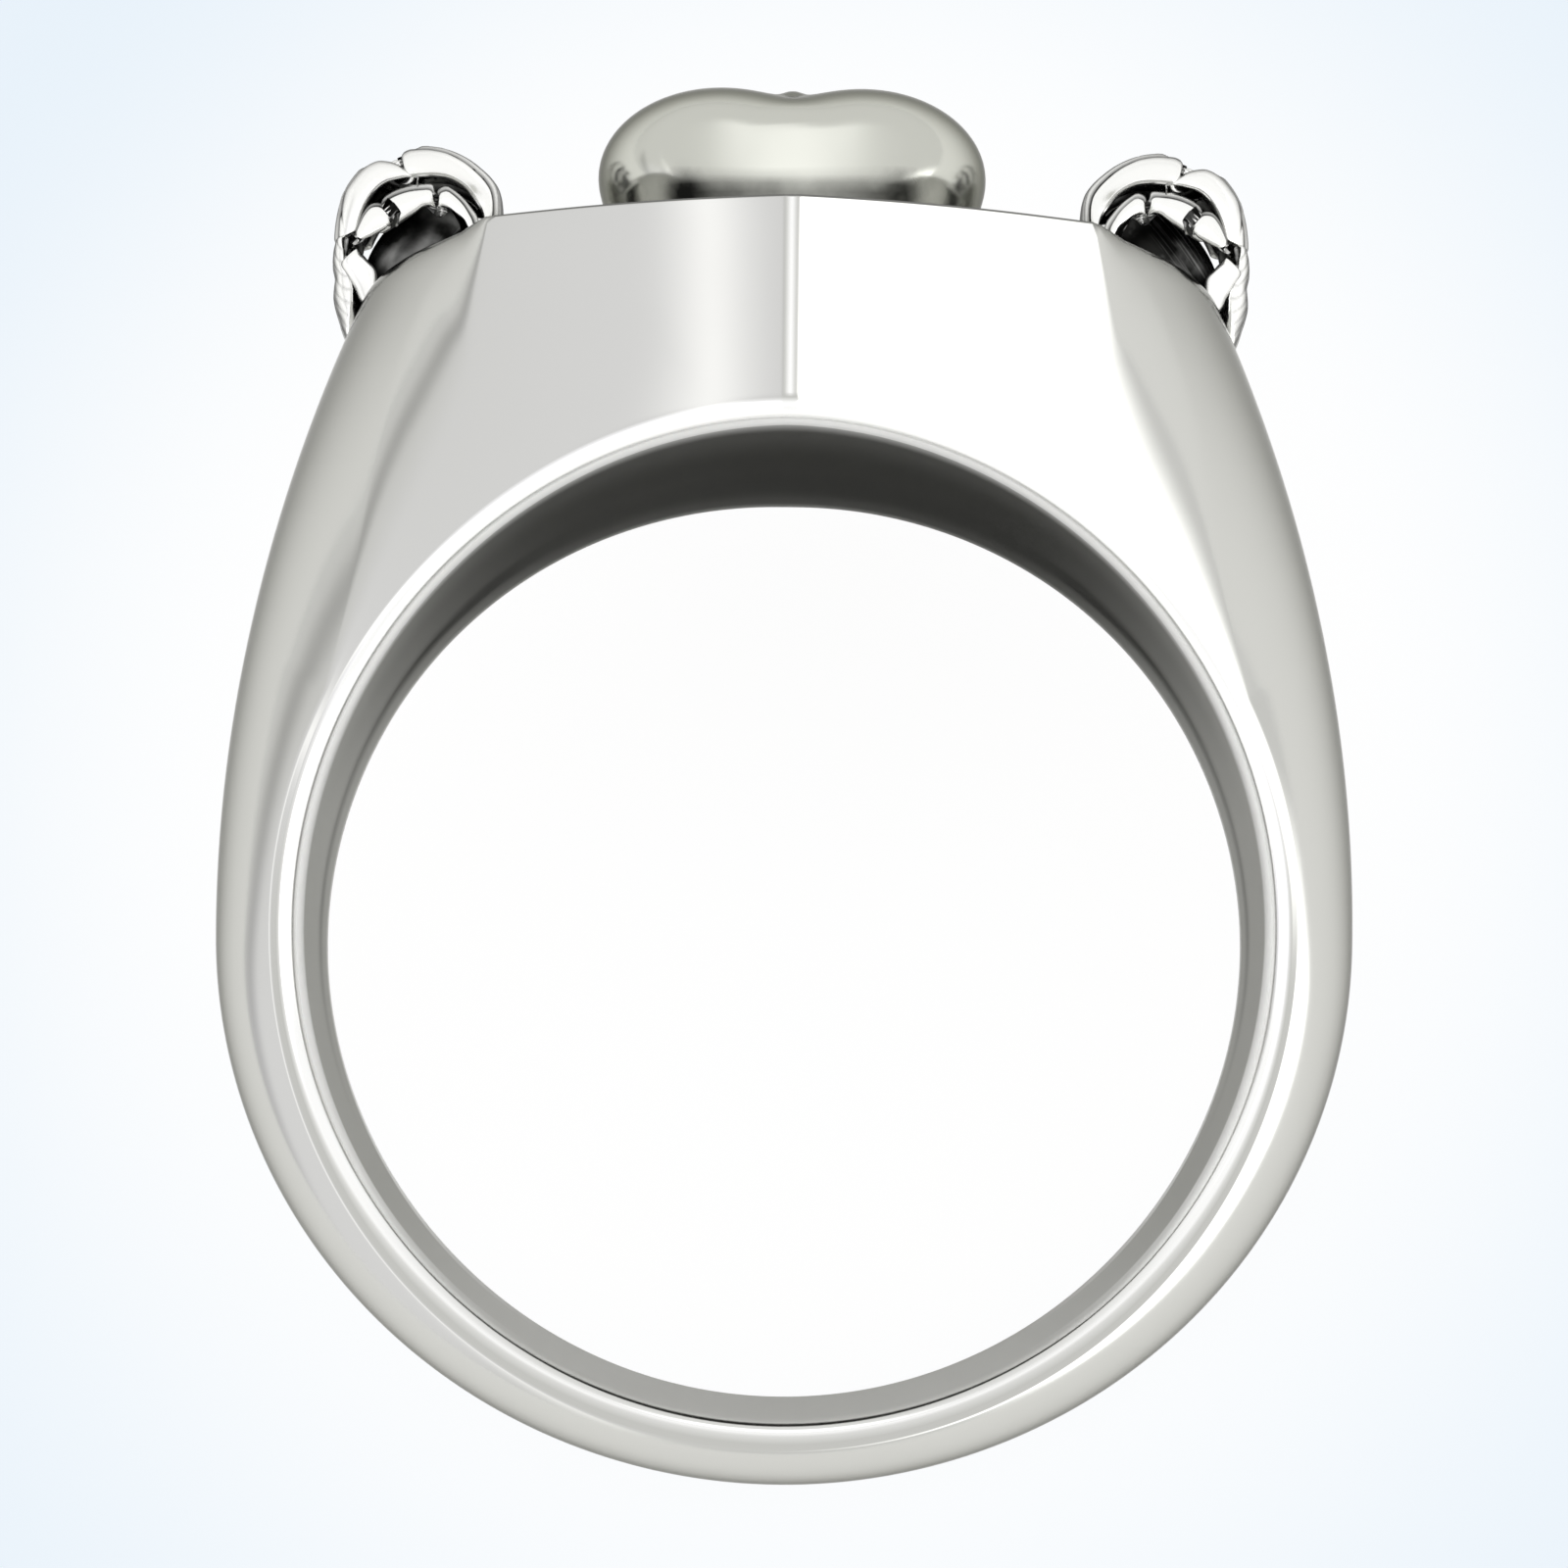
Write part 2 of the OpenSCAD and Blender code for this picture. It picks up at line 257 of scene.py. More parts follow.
class NodeGroups:
    """The effects that the finishes share, each built once as a shader node group."""

    def __init__(self) -> None:
        """Starts with no group built."""
        self.built: dict[str, bpy.types.NodeTree] = {}

    def _group(
        self, name: str, inputs: dict[str, float | None], output: tuple[str, str], wire: Wired
    ) -> bpy.types.NodeTree:
        """One effect, which is built when it is first asked for.

        Args:
            name: The group's name.
            inputs: The value of each input, or None for a vector.
            output: Name and kind of its one output.
            wire: Wires the effect from its inputs and gives the result's socket.

        Returns:
            The group.
        """
        if name not in self.built:
            group = bpy.data.node_groups.new(name, "ShaderNodeTree")
            for label, value in inputs.items():
                kind = "NodeSocketVector" if value is None else "NodeSocketFloat"
                socket = group.interface.new_socket(label, in_out="INPUT", socket_type=kind)
                if value is not None:
                    socket.default_value = value
            group.interface.new_socket(output[0], in_out="OUTPUT", socket_type=output[1])
            given = group.nodes.new("NodeGroupInput").outputs
            result = group.nodes.new("NodeGroupOutput").inputs[0]
            group.links.new(wire(Wiring(group), given), result)
            self.built[name] = group
        return self.built[name]

    def polish_haze(self) -> bpy.types.NodeTree:
        """Soft patches of slightly duller polish, as a roughness."""

        def wire(w: Wiring, given: bpy.types.NodeOutputs) -> bpy.types.NodeSocket:
            """Spreads a soft noise between the two roughnesses."""
            noise = w.add("TexNoise", {"Vector": given["Place"], "Scale": given["Scale"], "Detail": 3.0})
            spread = {
                "Value": noise["Fac"],
                "From Min": 0.35,
                "From Max": 0.7,
                "To Min": given["Bright"],
                "To Max": given["Dull"],
            }
            return w.add("MapRange", spread)["Result"]

        inputs = {"Place": None, "Scale": 300.0, "Bright": 0.08, "Dull": 0.16}
        return self._group("polish_haze", inputs, ("Roughness", "NodeSocketFloat"), wire)

    def hair_scratches(self) -> bpy.types.NodeTree:
        """Very fine crossing scratches of a worn polish, as a height."""

        def wire(w: Wiring, given: bpy.types.NodeOutputs) -> bpy.types.NodeSocket:
            """Adds up two noises, each drawn out along a line of its own."""
            lines = []
            for turn, stretch in (((0.4, 0.2, 0.3), 0.05), ((1.3, -0.5, 1.9), 0.07)):
                drawn = {"Vector": given["Place"], "Rotation": turn, "Scale": (1.0, stretch, 1.0)}
                place = w.add("Mapping", drawn)["Vector"]
                noise = w.add("TexNoise", {"Vector": place, "Scale": given["Scale"], "Detail": 1.0})
                line = {"Value": noise["Fac"], "From Min": 0.6, "From Max": 0.72}
                lines.append(w.add("MapRange", line)["Result"])
            return w.math("ADD", *lines)

        inputs = {"Place": None, "Scale": 900.0}
        return self._group("hair_scratches", inputs, ("Height", "NodeSocketFloat"), wire)

    def oxide_and_shade(self) -> bpy.types.NodeTree:
        """The dark oxide that stays in hollows, and the painted shade, as a mask with a broken edge."""

        def wire(w: Wiring, given: bpy.types.NodeOutputs) -> bpy.types.NodeSocket:
            """Makes the recess values uneven by a noise."""
            noise = w.add("TexNoise", {"Vector": given["Place"], "Scale": given["Scale"], "Detail": 4.0})
            uneven = w.math("MULTIPLY", w.math("SUBTRACT", noise["Fac"], 0.5), given["Broken"])
            strong = w.math("MULTIPLY", uneven, 4.0)
            return w.math("MULTIPLY_ADD", strong, given["Recess"], given["Recess"], use_clamp=True)

        inputs = {"Place": None, "Recess": 0.0, "Scale": 900.0, "Broken": 0.25}
        return self._group("oxide_and_shade", inputs, ("Mask", "NodeSocketFloat"), wire)

    def strands(self) -> bpy.types.NodeTree:
        """Fine light strands that run side by side, as a mask: painted streaks of reflection."""

        def wire(w: Wiring, given: bpy.types.NodeOutputs) -> bpy.types.NodeSocket:
            """Cuts thin lines out of a noise that is drawn out one way."""
            place = w.add("Mapping", {"Vector": given["Place"], "Scale": (20.0, 0.9, 1.0)})["Vector"]
            fine = {"Vector": place, "Scale": 1.0, "Detail": 1.0}
            noise = w.add("TexNoise", fine, noise_dimensions="2D")
            return w.add("MapRange", {"Value": noise["Fac"], "From Min": 0.54, "From Max": 0.66})["Result"]

        return self._group("strands", {"Place": None}, ("Mask", "NodeSocketFloat"), wire)

    def soft_window(self) -> bpy.types.NodeTree:
        """A soft-edged rectangle in the room, as a brightness by direction."""

        def wire(w: Wiring, given: bpy.types.NodeOutputs) -> bpy.types.NodeSocket:
            """Fades the glow out past the half width and the half height."""
            facing = w.vector_math("DOT_PRODUCT", given["Way"], given["Facing"])["Value"]
            mask = 1.0
            sides = ("Across", "Half width", "Soft sides")
            ends = ("Up", "Half height", "Soft ends")
            for axis, half, soft in (sides, ends):
                aside = w.vector_math("DOT_PRODUCT", given["Way"], given[axis])["Value"]
                fade = {
                    "Value": w.math("ABSOLUTE", w.math("ARCTAN2", aside, facing)),
                    "From Min": w.math("SUBTRACT", given[half], given[soft]),
                    "From Max": w.math("ADD", given[half], given[soft]),
                    "To Min": 1.0,
                    "To Max": 0.0,
                }
                faded = w.add("MapRange", fade, interpolation_type="SMOOTHSTEP")["Result"]
                mask = w.math("MULTIPLY", mask, faded)
            lit = {0: given["Glow"], "Scale": mask}
            return w.add("VectorMath", lit, operation="SCALE")["Vector"]

        ways = dict.fromkeys(("Way", "Facing", "Across", "Up"))
        sizes = {"Half width": 0.3, "Half height": 0.3, "Soft sides": 0.1, "Soft ends": 0.1}
        inputs = {**ways, **sizes, "Glow": None}
        return self._group("soft_window", inputs, ("Light", "NodeSocketVector"), wire)


@dataclass(frozen=True)
class SilverFinish:
    """Polished silver that is darkened by oxide in its hollows and by painted shade, and lightened by painted
    highlights.

    Attributes:
        name: The material's name.
        metal: Colour of the bare polished metal, set darker or lighter for each part as painted shade and
            painted light.
        edge: Tint of its reflections at a flat angle, kept dark so that it paints dark outlines.
        bright: Roughness of the best polished places.
        dull: Roughness of the duller patches.
        broken: How uneven the edge of the oxide and of the painted shade is.
        strands: How brightly the painted streaks of reflection show in its darkest places.
        oxide_and_shade: Colour of the oxide in the hollows, and of the painted shade.
        oxide_and_shade_rough: Roughness of the oxide and of the painted shade, and of satin places.
        scratch: Strength of the fine scratches.
        scratch_deep: Their depth, in millimetres.
        highlight_tone: Colour of the painted highlights on the mouths, the ridge and the bottom of the bore.
    """

    name: str
    metal: tuple[float, float, float]
    edge: tuple[float, float, float]
    bright: float
    dull: float
    broken: float = 0.3
    strands: float = 0.0
    oxide_and_shade: tuple[float, float, float] = (0.018, 0.018, 0.017)
    oxide_and_shade_rough: float = 0.42
    scratch: float = 0.02
    scratch_deep: float = 0.01
    highlight_tone: tuple[float, float, float] = (0.97, 0.97, 0.965)

    def material(self, groups: NodeGroups) -> bpy.types.Material:
        """Builds the material.

        Args:
            groups: The shared node groups.

        Returns:
            The material.
        """
        made = bpy.data.materials.new(self.name)
        made.use_nodes = True
        w = Wiring(made.node_tree)
        place = w.add("TexCoord")["Object"]
        # The mask carries the real oxide in hollows and the painted shade alike.
        oxide_and_shade = {"Place": place, "Recess": w.kept_value(RECESS), "Broken": self.broken}
        mask = w.effect(groups.oxide_and_shade(), oxide_and_shade)
        if self.strands:
            mask = w.math("MULTIPLY", self._off_strands(w, groups), mask)
        # Painted highlights turn the metal towards the highlight colour.
        bare = w.blend((*self.metal, 1.0), (*self.highlight_tone, 1.0), w.kept_value(PAINTED_HIGHLIGHT))
        haze = {"Place": place, "Bright": self.bright, "Dull": self.dull}
        rough = {
            "Factor": w.math("MAXIMUM", mask, w.kept_value(SATIN)),
            "A": w.effect(groups.polish_haze(), haze),
            "B": self.oxide_and_shade_rough,
        }
        relief = {
            "Height": w.effect(groups.hair_scratches(), {"Place": place}),
            "Strength": self.scratch,
            "Distance": self.scratch_deep * MM,
        }
        silver = {
            "Metallic": 1.0,
            "Specular Tint": (*self.edge, 1.0),
            "Base Color": w.blend(bare, (*self.oxide_and_shade, 1.0), mask),
            "Roughness": w.add("Mix", rough)["Result"],
            "Normal": w.add("Bump", relief)["Normal"],
        }
        w.fill(w.nodes["Principled BSDF"], silver)
        return made

    def _off_strands(self, w: Wiring, groups: NodeGroups) -> bpy.types.NodeSocket:
        """How much of the oxide and painted shade is left where the painted streaks of reflection shine
        through it.
        """
        place = w.add("UVMap", uv_map=STRAND)["UV"]
        combed = w.effect(groups.strands(), {"Place": place})
        lines = w.math("MULTIPLY", combed, w.kept_value(STRAND))
        return w.add("MapRange", {"Value": lines, "To Min": 1.0, "To Max": 1.0 - self.strands})["Result"]


# The three finishes are one silver: the darker metal of the band and the skull is painted shade, the
# near-white metal of the roses is painted light, and the dark edge tints paint outlines.
BAND_SILVER = SilverFinish(
    "band_silver", metal=(0.55, 0.55, 0.53), edge=(0.4, 0.4, 0.39), bright=0.11, dull=0.15, broken=0.0
)
SKULL_SILVER = SilverFinish(
    "skull_silver", metal=(0.56, 0.565, 0.52), edge=(0.25, 0.25, 0.24), bright=0.17, dull=0.22
)
ROSE_SILVER = SilverFinish(
    "rose_silver", metal=(0.98, 0.98, 0.965), edge=(0.1, 0.1, 0.1), bright=0.2, dull=0.28, strands=0.3
)


# The band


@dataclass
class Band:
    """The shank and the head: one loop of metal round the bore.

    A circle is spun round the bore's axis. Each of its vertices is then moved by
    the formulas of the ring's cross-section in its direction. All lengths are in
    millimetres and all angles in degrees.
    """

    # The bore, its mouths, the walls round it and the widths along the finger.
    bore_r: float = 9.5
    mouth_r: float = 0.43
    mouth_deep: float = 0.6
    mouth_square: float = 0.45
    side_wall: float = 2.02
    base_wall: float = 1.55
    side_w: float = 4.1
    base_w: float = 2.9
    widening: float = 2.9
    widening_round: float = 0.2
    head_wall: float = 3.8
    head_w: float = 19.7
    # The flat sides, which fall away from the ridge, and the domes of the shoulders.
    ridge_fall: float = 11.0
    side_bow_r: float = 11.0
    side_lean: float = 19.8
    side_blend: float = 3.4
    least_side: float = 0.14
    shoulder_r: float = 29.3
    dome_in: float = 2.6
    dome_full_y: float = 9.8
    dome_from: float = 32.0
    # How its edges are rounded, and how much of them and of the faces is polished off.
    top_chamfer: float = 0.05
    corner_round: float = 0.8
    ridge_flat: float = 0.13
    ridge_round: float = 0.02
    crease_round: float = 1.0
    crease_in_dome: float = 0.55
    crease_in_side: float = 0.42
    edge_round: float = 0.03
    polish_loss: float = 0.03
    # Painted dark reflection in the bore, painted shade beside the ridge and round the flat top, and painted
    # highlights: how strong from 0 to 1, and how far they reach.
    bore_dark: float = 0.985
    bore_soft: float = 0.04
    paler_below: float = 0.6
    paler_above: float = 0.12
    dark_streak: float = 0.4
    dark_streak_at: float = -0.4
    dark_streak_w: float = 0.14
    ridge_dark: float = 0.08
    ridge_dark_w: float = 0.025
    ridge_bright: float = 1.0
    ridge_bright_w: float = 0.07
    top_dark: float = 0.7
    top_dark_share: float = 0.6
    base_bright: float = 0.4
    mouth_fade: float = 0.14
    mouth_below: float = 0.3
    mouth_line: float = 0.5
    mouth_line_at: float = 0.5
    mouth_line_w: float = 0.07
    # How many faces it has, and how its cross-sections crowd at the ridge and the corners.
    turns: int = 560
    bore_steps: int = 8
    mouth_steps: int = 16
    side_steps: int = 12
    side_crowd: float = 1.5
    crease_steps: int = 12
    dome_steps: int = 34
    ridge_crowd: tuple[float, float] = (9.0, 1.3)
    corner_crowd: tuple[float, float] = (1.6, 3.0)
    corner_x: float = 8.33

    def __post_init__(self) -> None:
        """Works out the sizes that follow from the others."""
        self.side_r = self.bore_r + self.side_wall
        self.base_r = self.bore_r + self.base_wall
        self.mouth_edge = self.bore_r + self.mouth_r
        self.top_y = self.bore_r + self.head_wall
        self.shoulder_x = self.shoulder_r - self.side_r
        self.mouth_start = self.dome_steps + self.crease_steps + self.side_steps

    def oval_r(self, a: np.ndarray) -> np.ndarray:
        """Outer radius of the oval shank in the directions a, in radians."""
        return 1 / np.sqrt((np.cos(a) / self.side_r) ** 2 + (np.sin(a) / self.base_r) ** 2)

    def arc_r(self, a: np.ndarray, r: np.ndarray) -> np.ndarray:
        """Distance in directions a to the shoulder's arc of radius r."""
        return np.sqrt(r * r - (self.shoulder_x * np.sin(a)) ** 2) - self.shoulder_x * np.abs(np.cos(a))

    def full_r(self, a: np.ndarray) -> np.ndarray:
        """Distance in directions a to the outer face, were the flat top not cut off."""
        up = self.arc_r(a, self.shoulder_r)
        return np.where(np.sin(a) <= 0, self.oval_r(a), up) - self.polish_loss

    def top_r(self, a: np.ndarray) -> np.ndarray:
        """Distance in directions a to the plane of the flat top."""
        return self.top_y / np.maximum(np.sin(a), 0.1) - self.polish_loss

    def edge_r(self, a: np.ndarray) -> np.ndarray:
        """Distance in directions a to the crease between flat side and dome."""
        height = self.arc_r(a, self.shoulder_r) * np.sin(a)
        depth = mix(self.side_r - self.mouth_edge, self.dome_in, ease(height / self.dome_full_y))
        least = self.mouth_edge + self.least_side
        up = np.minimum(
            np.maximum(self.arc_r(a, self.shoulder_r - depth), least),
            self.top_r(a) - self.top_chamfer,
        )
        return np.where(np.sin(a) <= 0, least, up)

    def half_width(self, a: np.ndarray, r: np.ndarray) -> np.ndarray:
        """Half of the width along the finger, at radius r in directions a."""
        sin = np.sin(a)
        shank = mix(self.base_w, self.side_w, 1 + sin) / 2
        wider = self.widening - self.side_w / 2 + self.base_w / 2
        shank = shank + wider * soft_max(sin, 0.0, self.widening_round)
        x = soft_max(np.abs(r * np.cos(a)), self.ridge_flat, self.ridge_round)
        head = (
            self.head_w / 2
            - math.tan(math.radians(self.ridge_fall)) * x
            - x * x / (2 * self.side_bow_r)
            - math.tan(math.radians(self.side_lean)) * (self.top_y - r * sin)
            + self.head_w * np.minimum(sin, 0)
        )
        return -round_min(-head, -shank, self.side_blend) - self.polish_loss

    def half_section(self, a: np.ndarray) -> np.ndarray:
        """One half of the cross-sections in directions a.

        Args:
            a: Directions, in radians, as a column.

        Returns:
            Radius and half width of each point, from the middle of the outer face over
            the crease, the flat side and the mouth to the middle of the bore.
        """
        edge, full, top = self.edge_r(a), self.full_r(a), self.top_r(a)
        outer = np.minimum(full, top)
        at_edge = self.half_width(a, edge)
        at_mouth = self.half_width(a, self.mouth_edge)
        start = math.radians(self.dome_from)
        low = math.sin(start)

        def dome(q: np.ndarray) -> tuple[np.ndarray, np.ndarray]:
            """Radius and half width of the dome at its angle q."""
            rise = edge + (full - edge) * (np.sin(q) - low) / (1 - low)
            return (
                round_min(rise, top, np.minimum(self.corner_round, top - edge)),
                at_edge * np.cos(q) / math.cos(start),
            )

        flat = (edge - self.mouth_edge) * self.crease_in_side
        reach = soft_min(self.crease_round, self.crease_in_dome * (outer - edge), 0.15)
        reach = soft_min(reach, flat, 0.2)
        reach = np.maximum(reach, np.minimum(self.edge_round, flat))
        speed = np.hypot((full - edge) * math.cos(start) / (1 - low), at_edge * math.tan(start))
        past = start + reach / speed
        dome_turn = np.linspace(0, 1, self.dome_steps + 1)
        dome_r, dome_w = dome(mix(math.pi / 2, past, dome_turn))
        side_r0 = edge - reach
        side_w0 = self.half_width(a, side_r0)
        t = np.linspace(0, 1, self.crease_steps + 1)[1:-1]
        crease_r = (1 - t) ** 2 * dome_r[:, -1:] + 2 * t * (1 - t) * edge + t * t * side_r0
        crease_w = (1 - t) ** 2 * dome_w[:, -1:] + 2 * t * (1 - t) * at_edge + t * t * side_w0
        down = np.linspace(0, 1, self.side_steps + 1)
        side_r = mix(side_r0, self.mouth_edge, 1 - (1 - down) ** self.side_crowd)
        side_w = self.half_width(a, side_r)
        m = np.linspace(math.pi / 2, 0, self.mouth_steps + 1)[1:]
        square = mix(self.mouth_square, 1.0, ease((np.sin(a) + 0.75) / 0.6))
        mouth_r = self.mouth_edge - self.mouth_r * np.maximum(np.cos(m), 1e-9) ** square
        mouth_w = at_mouth - self.mouth_deep * (1 - np.maximum(np.sin(m), 1e-9) ** square)
        bore = np.linspace(1, 0, self.bore_steps + 1)[1:]
        bore_w = (at_mouth - self.mouth_deep) * bore
        bore_r = self.bore_r + 0 * bore_w
        return np.stack(
            [
                np.hstack([dome_r, crease_r, side_r, mouth_r, bore_r]),
                np.hstack([dome_w, crease_w, side_w, mouth_w, bore_w]),
            ],
            axis=-1,
        )

    def directions(self) -> np.ndarray:
        """Directions of the cross-sections, closer together at ridge and corners."""
        even = np.linspace(-180, 180, 7201)
        corner = math.degrees(math.atan2(self.top_y, self.corner_x))
        crowd = 1 + self.ridge_crowd[0] * bump(even, 90, self.ridge_crowd[1])
        for turn in (corner, 180 - corner):
            crowd = crowd + self.corner_crowd[0] * bump(even, turn, self.corner_crowd[1])
        total = np.concatenate([[0], np.cumsum((crowd[1:] + crowd[:-1]) / 2)])
        wanted = np.linspace(0, total[-1], self.turns + 1)[:-1]
        return np.radians(np.interp(wanted, total, even))

    def shape(self) -> bmesh.types.BMesh:
        """Spins a circle round the bore and moves it to the ring's cross-sections.

        Returns:
            The band, upright and in millimetres, with its values of painted shade, painted highlights and
            satin.
        """
        turn = self.directions()
        half = self.half_section(turn[:, None])
        count = 2 * (half.shape[1] - 1)
        middle = self.bore_r + 2
        bm = bmesh.new()
        circle = bmesh.ops.create_circle(
            bm,
            segments=count,
            radius=1.0,
            matrix=Matrix.Translation((middle, 0, 0)) @ Matrix.Rotation(math.pi / 2, 4, "X"),
        )
        bmesh.ops.spin(
            bm,
            geom=circle["verts"] + list(bm.edges),
            cent=(0, 0, 0),
            axis=(0, 0, 1),
            angle=2 * math.pi,
            steps=self.turns,
            use_merge=True,
        )
        at = points_of(bm)
        step = np.round((np.arctan2(at[:, 1], at[:, 0]) + math.pi) / (2 * math.pi) * self.turns)
        step = step.astype(int) % self.turns
        out = np.hypot(at[:, 0], at[:, 1]) - middle
        spot = np.round(np.arctan2(at[:, 2], out) / (2 * math.pi) * count).astype(int)
        side = np.where(spot < 0, -1.0, 1.0)
        spot = np.abs(spot)
        a, r, w = turn[step], half[step, spot, 0], side * half[step, spot, 1]
        move_to(bm, np.stack([r * np.cos(a), r * np.sin(a), w], axis=1))
        bmesh.ops.recalc_face_normals(bm, faces=bm.faces)
        dark = (self.bore_shade(a, r, w), self.ridge_lines(a, r), self.top_line(a, spot))
        keep_values(bm, RECESS, np.maximum.reduce(dark))
        bright = (self.mouth_highlight(a, spot), self.ridge_highlight(a, r), self.base_highlight(a, r))
        keep_values(bm, PAINTED_HIGHLIGHT, np.maximum.reduce(bright))
        keep_values(bm, SATIN, ease((spot - self.mouth_start) / self.mouth_steps * 2 - 0.7))
        return bm

    def in_bore(self, r: np.ndarray) -> np.ndarray:
        """How far the places at radius r belong to the bore's wall, from 0 to 1."""
        return ease((self.bore_r + self.bore_soft - r) / self.bore_soft)

    def bore_shade(self, a: np.ndarray, r: np.ndarray, w: np.ndarray) -> np.ndarray:
        """How dark the bore's wall is painted, as a dark reflection: darkest deep under the head, paler
        towards the mouths, with a darker streak on the far side.

        Args:
            a: Direction of each vertex.
            r: Its distance from the bore's axis.
            w: Its distance from the ring's middle plane, less than 0 on the far side.

        Returns:
            A value from 0 to 1 for each vertex.
        """
        rim = self.half_width(a, self.mouth_edge) - self.mouth_deep
        streak = self.dark_streak * bump(w / rim, self.dark_streak_at, self.dark_streak_w)
        dark_streak = streak * ease((np.sin(a) + 0.5) / 0.6)
        w = np.abs(w)
        under_head = ease((np.sin(a) - 0.2) / 0.72)
        paler = mix(self.paler_below, self.paler_above, under_head) * ease((w / rim - 0.35) / 0.6)
        deep = self.bore_dark * under_head * (1 - paler)
        return self.in_bore(r) * np.minimum(deep + dark_streak, 1) * ease((rim - w) / 0.15 + 0.5)

    def on_side(self, a: np.ndarray, r: np.ndarray) -> np.ndarray:
        """Which places lie on the flat sides, clear of the mouths and the flat top."""
        return (r > self.mouth_edge) & (r * np.sin(a) < self.top_y - 0.1) & (np.sin(a) > 0)

    def ridge_lines(self, a: np.ndarray, r: np.ndarray) -> np.ndarray:
        """How dark the two fine lines of painted shade beside the ridge are."""
        x = np.abs(r * np.cos(a))
        line = self.ridge_dark * bump(x, self.ridge_flat, self.ridge_dark_w)
        return np.where(self.on_side(a, r), line, 0.0)

    def top_line(self, a: np.ndarray, spot: np.ndarray) -> np.ndarray:
        """How dark the painted shade on the fine chamfer round the flat top is."""
        on_top = self.top_r(a) - self.edge_r(a) < self.top_chamfer + 1e-6
        share = (spot - self.dome_steps) / self.crease_steps
        return np.where(on_top & (share >= 0) & (share < self.top_dark_share), self.top_dark, 0.0)

    def base_highlight(self, a: np.ndarray, r: np.ndarray) -> np.ndarray:
        """How much a painted highlight brightens the bore at the bottom of the shank."""
        return self.base_bright * self.in_bore(r) * ease((-np.sin(a) - 0.5) / 0.45)

    def ridge_highlight(self, a: np.ndarray, r: np.ndarray) -> np.ndarray:
        """How bright the painted highlight along the narrow flat of the ridge is."""
        x = np.abs(r * np.cos(a))
        return np.where(self.on_side(a, r), self.ridge_bright * bump(x, 0.0, self.ridge_bright_w), 0.0)

    def mouth_highlight(self, a: np.ndarray, spot: np.ndarray) -> np.ndarray:
        """How bright the painted highlight on the mouths is, with a fine duller line along their middle.

        Args:
            a: Direction of each vertex.
            spot: Each vertex's place along its half section.

        Returns:
            A value from 0 to 1 for each vertex.
        """
        share = (spot - self.mouth_start) / self.mouth_steps
        inside = (share > 0) & (share <= 1)
        highlight_tone = mix(self.mouth_below + 0.7 * bump(share, 0.1, 0.12), 1.0, ease((np.sin(a) + 0.95) / 0.5))
        line = self.mouth_line * bump(share, self.mouth_line_at, self.mouth_line_w)
        highlight_tone = highlight_tone * ease(share / self.mouth_fade) - line
        return np.where(inside, highlight_tone, 0.0)


# The skull


@dataclass(frozen=True)
class Oval:
    """An oval of the skull, as shares of the skull's width, length and height.

    Attributes:
        middle: Its middle. An oval off the middle plane stands for a pair.
        radii: Its three radii.
        turn: Its turn in the plane of the face, in degrees.
        dark: How much oxide a hollow of this shape holds, from 0 to 1.
    """

    middle: tuple[float, float, float]
    radii: tuple[float, float, float]
    turn: float = 0.0
    dark: float = 0.0


SKULL_OVALS = (
    Oval((0.175, 0.15, 0.48), (0.315, 0.32, 0.465)),
    Oval((0, 0.09, 0.83), (0.055, 0.19, 0.13)),
    Oval((0, 0.13, 0.2), (0.47, 0.33, 0.6)),
    Oval((0, 0.25, 0.44), (0.33, 0.235, 0.4)),
    Oval((0.185, 0.01, 0.7), (0.2, 0.045, 0.25), -9),
    Oval((0.31, -0.135, 0.5), (0.125, 0.045, 0.28), 16),
    Oval((0.39, -0.06, 0.34), (0.075, 0.07, 0.3)),
    Oval((0, -0.14, 0.34), (0.33, 0.23, 0.48)),
    Oval((0.11, -0.06, 0.62), (0.03, 0.15, 0.22), 4),
    Oval((0, -0.28, 0.44), (0.2, 0.1, 0.36)),
    Oval((0.05, -0.445, 0.36), (0.11, 0.045, 0.32)),
    Oval((0.26, -0.3, 0.28), (0.07, 0.15, 0.34), -24),
)
SKULL_HOLLOWS = (
    Oval((0.195, -0.088, 0.98), (0.13, 0.088, 0.5), -12, 0.98),
    Oval((0.034, -0.215, 0.95), (0.038, 0.056, 0.36), 14, 0.98),
    Oval((0, -0.175, 0.95), (0.028, 0.045, 0.28), 0, 0.98),
    Oval((0.3, -0.26, 0.78), (0.1, 0.065, 0.36), 20, 0.5),
    Oval((0.46, 0.0, 0.78), (0.08, 0.1, 0.3)),
)


